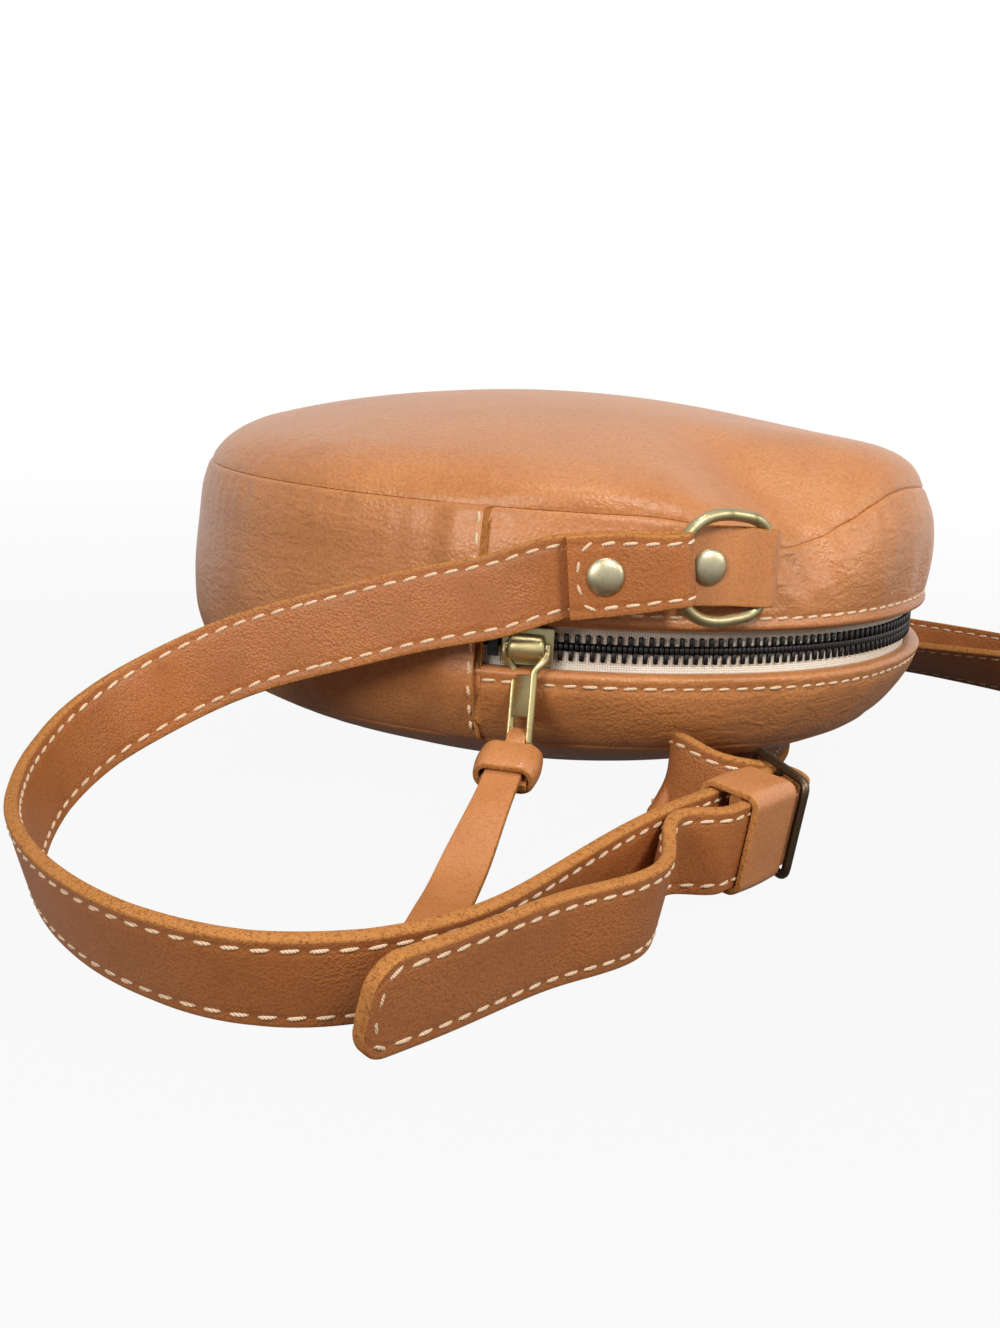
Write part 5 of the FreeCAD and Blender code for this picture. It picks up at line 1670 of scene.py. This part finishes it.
def rivet(name, place, outward, cap_seat, back_seat):
    """Domed cap with a rolled rim, its post and the flat washer at its back."""
    turns = np.radians(np.linspace(90.0, dome_edge_turn, dome_rows))
    edge_sine = math.sin(turns[-1])
    dome_r = rivet_radius * dome_edge_share * np.cos(turns) / math.cos(turns[-1])
    dome_h = dome_edge_height + dome_rise * (np.sin(turns) - edge_sine) / (1 - edge_sine)
    low = cap_seat + rivet_gap
    back = back_seat - rivet_gap
    rim = (
        (rivet_radius, low + 0.42), (rivet_radius - 0.1, low + 0.3),
        (rivet_radius - 0.7, low), (rivet_post, low),
    )
    washer = (
        (rivet_post, back), (rivet_radius - 0.2, back), (rivet_radius, back - 0.25),
        (rivet_radius - 0.35, back - 0.7), (rivet_radius * 0.6, back - rivet_back), (0.0, back - rivet_back),
    )
    profile = [(r, low + h) for r, h in zip(dome_r, dome_h)]
    profile[0] = (0.0, profile[0][1])
    return turned_cap(name, profile + list(rim) + list(washer), place, outward, rivet_metal)


for side in anchor_angles:
    place, along, outward, across = leaving(side)
    seat = strap_thickness + ply_gap / 2
    strap_rivet = rivet(
        side + "_strap_rivet_cap", place + along * (fold_length - fold_rivet), outward, seat, -seat
    )
    carried(strap_rivet, side + "_ring", "rivet_brass", side + "_strap_rivet")
    spot = seated((-anchor_rivet_reach, 0.0, 0.0), side)
    facing = spot - seated((-anchor_rivet_reach, 1.0, 0.0), side)
    seat = 2 * (anchor_gap + anchor_leather) + anchor_gap
    anchor_rivet = rivet(side + "_anchor_rivet_cap", spot, facing, seat, -anchor_rivet_inside)
    carried(anchor_rivet, "bag", "rivet_brass", side + "_anchor_rivet")

# %% Rings
ring_half_line = (
    (0.0, 0.0), (0.0, 5.0), (-0.4, 8.2), (-2.2, 10.2), (-6.5, 11.5),
    (-11.5, 12.0), (-16.5, 11.4), (-20.6, 9.2), (-23.5, 5.2), (-24.5, 0.0),
)
ring_spacing = 0.6
ring_lead = 3


def ring_line():
    """Middle line of a D-ring: straight bar at x = 0, round side towards -x."""
    half = [(x, 0.0, z) for x, z in ring_half_line]
    other = [(x, 0.0, -z) for x, z in ring_half_line[-2:0:-1]]
    whole = half + other
    looped = whole[-ring_lead:] + whole + whole[:ring_lead + 1]
    places = smooth_path(looped, [UP] * len(looped), ring_spacing)[0]
    steps = np.linalg.norm(np.diff(np.array(looped), axis=0), axis=1)
    reach = np.arange(len(places)) * ring_spacing
    first, last = steps[:ring_lead].sum(), steps[:ring_lead + len(whole)].sum()
    return places[(reach >= first) & (reach < last - ring_spacing / 2)]


for side in anchor_angles:
    line = turned_about_z(ring_line(), math.degrees(ring_lift)) + (fold_reach, -bar_out, 0.0)
    flat = seated(turned_about_z((0.0, 1.0, 0.0), math.degrees(ring_lift)), side)
    flat = flat - seated((0.0, 0.0, 0.0), side)
    ring = wire(side + "_ring_wire", seated(line, side), flat, ring_wire, ring_wire, ring_brass, True)
    carried(ring, side + "_ring", "aged_brass", side + "_d_ring")

# %% [markdown]
# ## Leather tabs and loops
# A tab is a short strip folded round a ring's bar and riveted down, so it is swept like the strap, from a
# thinner section with no stitches. The band on the pull tab and the keeper are closed loops of leather. Each
# is a wall section carried round a rounded rectangle, and it bulges a little because the leather is bent over
# soft layers.

# %% Anchor tabs
anchor_width = strap_width - 0.5
anchor_end = 10.5
anchor_ramp = 6.0
anchor_round = 0.35
waist_share, waist_place_share, waist_rows = 0.05, 0.47, 9.0
tab_spacing = 0.6
anchor_section = strap_outline(anchor_width, anchor_leather, anchor_round, 0.0)
anchor_section[0][:, 0] *= strap_width / anchor_width

for side in anchor_angles:
    inner_layer = anchor_gap + anchor_leather / 2
    outer_layer = inner_layer + anchor_leather + anchor_gap
    turn_radius = ring_wire + ring_gap + anchor_leather / 2
    drawn = [(-anchor_end, inner_layer), (-2.0, inner_layer), (fold_reach - 2.0, inner_layer)]
    drawn += [
        (fold_reach + turn_radius * math.sin(turn), bar_out - turn_radius * math.cos(turn))
        for turn in np.linspace(0.0, math.pi, 13)
    ]
    drawn += [
        (fold_reach - 2.0, bar_out + turn_radius - 0.75), (fold_reach - 4.2, outer_layer + 1.0),
        (fold_reach - anchor_ramp - 0.6, outer_layer + 0.1), (-2.0, outer_layer), (-anchor_end, outer_layer),
    ]
    line = seated([(x, -out, 0.0) for x, out in drawn], side)
    places, turns = smooth_path(line, [UP] * len(line), tab_spacing)
    waist = hill(np.arange(len(places)), len(places) * waist_place_share, waist_rows)
    path = Path(places, turns, anchor_width * (1.0 - waist_share * waist))
    tab = strap_piece(side + "_anchor_leather", path, anchor_section, trim_leather)
    carried(tab, "bag", "leather_trim", side + "_anchor_tab")

# %% Loops of leather
loop_spacing, loop_wall_spacing, loop_creases = 0.8, 0.7, 0.35


def leather_loop(name, frame_of, half_width, half_depth, wall, first, last, corner, bulge):
    """Closed loop round a rounded rectangle; frame_of places along, across and deep offsets in the scene."""
    points, outs = [], []
    corners = ((1, 1, 0.0), (-1, 1, 90.0), (-1, -1, 180.0), (1, -1, 270.0))
    for side, face, start in corners:
        turns = np.radians(np.linspace(start, start + 90.0, 11))
        for turn in turns:
            out = np.array((math.cos(turn), math.sin(turn)))
            middle = np.array((side * (half_width - corner), face * (half_depth - corner)))
            points.append(middle + corner * out)
            outs.append(out)
    dense, dense_outs = [], []
    for index, here in enumerate(points):
        following = (index + 1) % len(points)
        there, out, next_out = points[following], outs[index], outs[following]
        steps = max(1, round(np.linalg.norm(there - here) / loop_spacing))
        for step in range(steps):
            share = step / steps
            dense.append(here + (there - here) * share)
            dense_outs.append(unit(out + (next_out - out) * share))
    dense, dense_outs = np.array(dense), np.array(dense_outs)
    run = last - first
    soft = min(0.45, wall / 2.2)
    snug = soft * 0.6
    wall_corners = ((0.0, 0.0, snug), (wall, 0.0, soft), (wall, run, soft), (0.0, run, snug))
    across_wall = outline(wall_corners, loop_wall_spacing)
    swell = bulge * np.sin(math.pi * np.clip(across_wall[:, 1] / run, 0.0, 1.0))
    height = across_wall[:, 0] + swell * ease(across_wall[:, 0], 0.0, wall)
    flat = dense[:, None] + dense_outs[:, None] * height[None, :, None]
    along = np.broadcast_to(first + across_wall[None, :, 1], flat.shape[:2])
    offsets = np.stack([along, flat[..., 0], flat[..., 1]], axis=-1)
    faces = tube_faces(len(dense), len(across_wall), True)
    on_rim = (across_wall[:, 1] < soft * 0.9) | (across_wall[:, 1] > run - soft * 0.9)
    kinds = (on_rim & np.roll(on_rim, -1)).astype(int)
    slots = np.tile(kinds, len(dense))
    creases = np.full(flat.shape[:2], loop_creases)
    return new_piece(name, frame_of(offsets), faces, [trim_leather, cut_edge], slots, {"creases": creases})


keeper_half = strap_width / 2 + keeper_room
keeper_low = front_layer - strap_thickness / 2 - keeper_room
keeper_high = loop_offset + strap_thickness / 2 + keeper_room


def keeper_frame(offsets):
    """Places offsets along, across and through the straps' joint."""
    middle = (keeper_low + keeper_high) / 2
    return at_joint(np.stack([offsets[..., 0], middle - offsets[..., 2], offsets[..., 1]], axis=-1))


keeper = leather_loop(
    "keeper_leather", keeper_frame, keeper_half, (keeper_high - keeper_low) / 2, keeper_wall, keeper_setback,
    keeper_setback + keeper_length, corner=1.6, bulge=0.25,
)
carried(keeper, "keeper", "leather_trim", "strap_keeper")

# %% Buckle
buckle_corner = 2.2
half_wire = buckle_wire / 2
frame_half = buckle_half - half_wire
frame_signs = ((1, 1), (-1, 1), (-1, -1), (1, -1))
frame_spacing, bar_points = 1.2, 24


def buckle_frame(points):
    """Places points drawn in the buckle's plane, depth and width, at its centre bar."""
    points = turned_about_z(points, -math.degrees(buckle_turn))
    return at_joint(points + (buckle_reach, 0.0, 0.0))


frame_corners = [(x * buckle_depth, z * frame_half, buckle_corner) for x, z in frame_signs]
flat_line = np.insert(outline(frame_corners, frame_spacing), 0, 0.0, axis=1)
facing = buckle_frame(np.array((1.0, 0.0, 0.0))) - buckle_frame(np.zeros(3))
sides_line = buckle_frame(flat_line)
buckle_sides = wire("buckle_sides", sides_line, facing, half_wire, half_wire, buckle_bronze, True)
bar_line = np.zeros((bar_points, 3))
bar_line[:, 2] = np.linspace(-frame_half, frame_half, bar_points)
buckle_middle = wire("buckle_middle", buckle_frame(bar_line), facing, buckle_bar, buckle_bar, buckle_bronze)
buckle = joined("buckle_frame", [buckle_sides, buckle_middle])
carried(buckle, "buckle", "dark_bronze", "strap_buckle")

# %% [markdown]
# ## Slider, pull and leather tab
# The slider is the only bright thing on the zip: a flat cast body with a rounded hood. The pull hangs from it
# on two prongs, twisted a little to one side, and ends in a bar that the leather tab is looped round. The
# cast pieces are blocks with rounded edges, the prongs are wire, and the twist is one function that turns
# points by their depth. The rows of teeth stay closed, so the plates have no neck between them here.

# %% Slider
pin_place = 100.75
slider_height = 9.0
outer_face, outer_top = 97.85, 99.15
inner_face, inner_top = 93.85, 92.55
outer_rail, inner_rail, rail = 96.75, 94.95, 0.8
hood_half_length, hood_half_height, hood_rise, hood_sink = 4.2, 2.9, 2.75, 0.3
tunnel_radius = 1.4
slider_turn = Matrix.Rotation(math.radians(slider_angle), 4, "Z")


def cast(name, blocks, rounding, place, material):
    """Rounded blocks in one piece, each given by two corners, moved to its place."""
    shapes = []
    for low, high in blocks:
        shape = bmesh.new()
        block(shape, low, high)
        bevelled(shape, min(rounding, 0.45 * min(np.subtract(high, low))), 3)
        shape.transform(place)
        shapes.append(solid(name + "_part", shape, [material]))
    return joined(name, shapes)


half_length, half_height = slider_length / 2, slider_height / 2
low_z, high_z = zip_mid_z - half_height, zip_mid_z + half_height
plates = [
    ((-half_length, -outer_top, low_z), (half_length, -outer_face, high_z)),
    ((-half_length, -inner_face, low_z), (half_length, -inner_top, high_z)),
]
for low in (low_z, high_z - rail):
    plates.append(((-half_length, -outer_top, low), (half_length, -outer_rail, low + rail)))
    plates.append(((-half_length, -inner_rail, low), (half_length, -inner_top, low + rail)))
body = cast("slider_body", plates, 0.5, slider_turn, ring_brass)


def hood_shape():
    """Hood over the pin: an arch along the zip with rounded ends and an open tunnel."""
    stations = np.linspace(-1.0, 1.0, 17)
    turns = np.radians(np.linspace(0.0, 180.0, 25))
    rows = []
    for station in stations:
        shrink = (1.0 - abs(station) ** 5) ** 0.3 * 0.3 + 0.7
        side = hood_half_height * shrink
        wall = [(side * math.cos(t), hood_rise * shrink * math.sin(t) ** 0.8) for t in turns]
        tunnel = [(tunnel_radius * math.cos(t), tunnel_radius * math.sin(t)) for t in turns[::-1]]
        sunk = outer_top - pin_place - hood_sink
        section = [(side, sunk)] + wall + [(-side, sunk)]
        section += [(-tunnel_radius, sunk)] + tunnel + [(tunnel_radius, sunk)]
        rows.append([(station * hood_half_length, -pin_place - out, zip_mid_z + z) for z, out in section])
    rows = np.array(rows)
    count = rows.shape[1]
    faces = ring_quads(len(stations), count)
    half = (count - 4) // 2
    for row in (0, len(stations) - 1):
        start = row * count
        for index in range(half + 1):
            opposite = start + count - 1 - index
            faces.append([start + index, start + index + 1, opposite - 1, opposite])
    return new_piece("slider_hood", turned_about_z(rows, slider_angle), faces, [pull_brass])


slider = joined("slider_cast", [body, hood_shape()])
carried(slider, "slider", "aged_brass", "zip_slider")

# %% Pull
pull_tilt = math.radians(12.0)
pull_twist = math.radians(-46.0)
foot_depth = 21.1
fork_half, rail_half, plate_half = 4.75, 3.4, 3.05
shoulder_depth, window_depth = 6.0, 15.6
pin_radius, foot_radius, cross_bar_points = 1.0, 0.9, 16
prong_half_width, prong_half_depth, prong_top, prong_points = 0.6, 0.95, 0.9, 60
plate_reach, plate_half_depth, plate_round = plate_half + 0.2, 0.6, 0.3


def hung(points):
    """Twists points drawn below the pin by their depth, tilts them and hangs them on the slider."""
    points = np.asarray(points, dtype=float)
    turn = pull_twist * ease(-points[..., 2], 0.8, shoulder_depth)
    x = points[..., 0] * np.cos(turn) - points[..., 1] * np.sin(turn)
    y = points[..., 0] * np.sin(turn) + points[..., 1] * np.cos(turn)
    z = points[..., 2]
    tilted_y = y * math.cos(pull_tilt) + z * math.sin(pull_tilt)
    tilted_z = z * math.cos(pull_tilt) - y * math.sin(pull_tilt)
    tilted = np.stack([x, tilted_y, tilted_z], axis=-1)
    return turned_about_z(tilted + (0.0, -pin_place, zip_mid_z), slider_angle)


def hung_wire(name, points, wide, deep):
    """Wire of the pull; its side direction lies in the pull's plane."""
    aside = hung(np.array((1.0, 0.0, -foot_depth))) - hung(np.array((0.0, 0.0, -foot_depth)))
    return wire(name, hung(points), aside, wide, deep, pull_brass)


pull_parts = []
depths = np.linspace(-prong_top, foot_depth, prong_points)
for side in (-1, 1):
    spread = fork_half + (rail_half - fork_half) * ease(depths, 1.0, shoulder_depth)
    line = np.stack([side * spread, np.zeros(prong_points), -depths], axis=1)
    pull_parts.append(hung_wire("pull_prong", line, prong_half_width, prong_half_depth))
for depth, radius, half in ((0.0, pin_radius, fork_half), (foot_depth, foot_radius, rail_half)):
    line = np.zeros((cross_bar_points, 3))
    line[:, 0] = np.linspace(-half, half, cross_bar_points)
    line[:, 2] = -depth
    direction = hung(line)[-1] - hung(line)[0]
    pull_parts.append(wire("pull_bar", hung(line), np.cross(direction, UP), radius, radius, pull_brass))
plate = bmesh.new()
plate_low = (-plate_reach, -plate_half_depth, -window_depth)
block(plate, plate_low, (plate_reach, plate_half_depth, -shoulder_depth))
bevelled(plate, plate_round, 3)
for vertex in plate.verts:
    vertex.co = Vector(hung(np.array(vertex.co) / MM) * MM)
pull_parts.append(solid("pull_plate", plate, [pull_brass]))
pull = joined("pull_cast", pull_parts)
carried(pull, "pull", "aged_brass", "zip_pull")

# %% Leather pull tab and its band
tab_width, tab_neck, tab_leather, tab_gap = 10.6, 4.6, 1.5, 0.35
tab_tail, tab_rest, tab_slope, tab_heading = 50.0, 25.0, 24.0, -9.0
tab_rest_turn = 6.5
tab_short_layer, tab_round = 15.0, 0.45
tab_fold_place, tab_waist = 21.0, 2.2
neck_step, waist_rise, waist_fall = (3.0, 9.0), (2.0, 8.0), (18.0, 48.0)
band_setback, band_height, band_wall, band_room = 4.9, 9.0, 1.2, 0.65
foot_out, foot_down = foot_depth * math.sin(pull_tilt), foot_depth * math.cos(pull_tilt)
foot_place = turned_about_z((0.0, -pin_place - foot_out, zip_mid_z - foot_down), slider_angle)
tab_along = heading_vector(slider_angle - 90.0 + tab_heading, tab_slope)
tab_across = unit(np.cross(tab_along, UP))
tab_normal = np.cross(tab_across, tab_along)
tab_normal = tab_normal if tab_normal[2] > 0 else -tab_normal
tab_layer = (tab_leather + ply_gap) / 2
level = heading_vector(slider_angle - 90.0 + tab_heading + tab_rest_turn, 0.0)


def on_tab(reach, height):
    """Point along the tab's slope from the foot bar, above its middle."""
    return foot_place + tab_along * reach + tab_normal * height


loop_radius = foot_radius + tab_gap + tab_leather / 2
tab_line = [on_tab(reach, -tab_layer) for reach in (tab_short_layer, 10.0, 5.5)]
tab_line += [on_tab(2.6, -loop_radius + 0.15)]
tab_line += half_turn(foot_place - tab_along * 0.3, -tab_along, -tab_normal, loop_radius, 10)
tab_line += [on_tab(2.6, loop_radius - 0.15)]
tab_line += [on_tab(reach, tab_layer) for reach in (5.5, 10.0, 18.0, 30.0, tab_tail - 7.0)]
bend_end = on_tab(tab_tail, tab_layer)
tab_line += [bend_end + level * 6.0, bend_end + level * 14.0, bend_end + level * tab_rest]
places, turns = smooth_path(tab_line, [tab_across] * len(tab_line), tab_spacing)
from_fold = np.arange(len(places)) * tab_spacing - tab_fold_place
tab_widths = tab_neck + (tab_width - tab_neck) * ease(np.abs(from_fold), *neck_step)
tab_widths -= tab_waist * between(from_fold, waist_rise, waist_fall)
tail_section = strap_outline(strap_width, tab_leather, tab_round, 0.0)
pull_tab = strap_piece("pull_tab_leather", Path(places, turns, tab_widths), tail_section, trim_leather)
carried(pull_tab, "tab", "leather_trim", "pull_tab")
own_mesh(pull_tab)


def band_frame(offsets):
    """Places offsets along, across and out of the tab."""
    return foot_place + offsets @ np.stack([tab_along, tab_across, tab_normal])


band = leather_loop(
    "pull_band_leather", band_frame, tab_width / 2 + tab_gap, tab_leather + ply_gap + band_room, band_wall,
    band_setback, band_setback + band_height, corner=2.2, bulge=0.5,
)
carried(band, "tab", "leather_trim", "pull_tab_band")
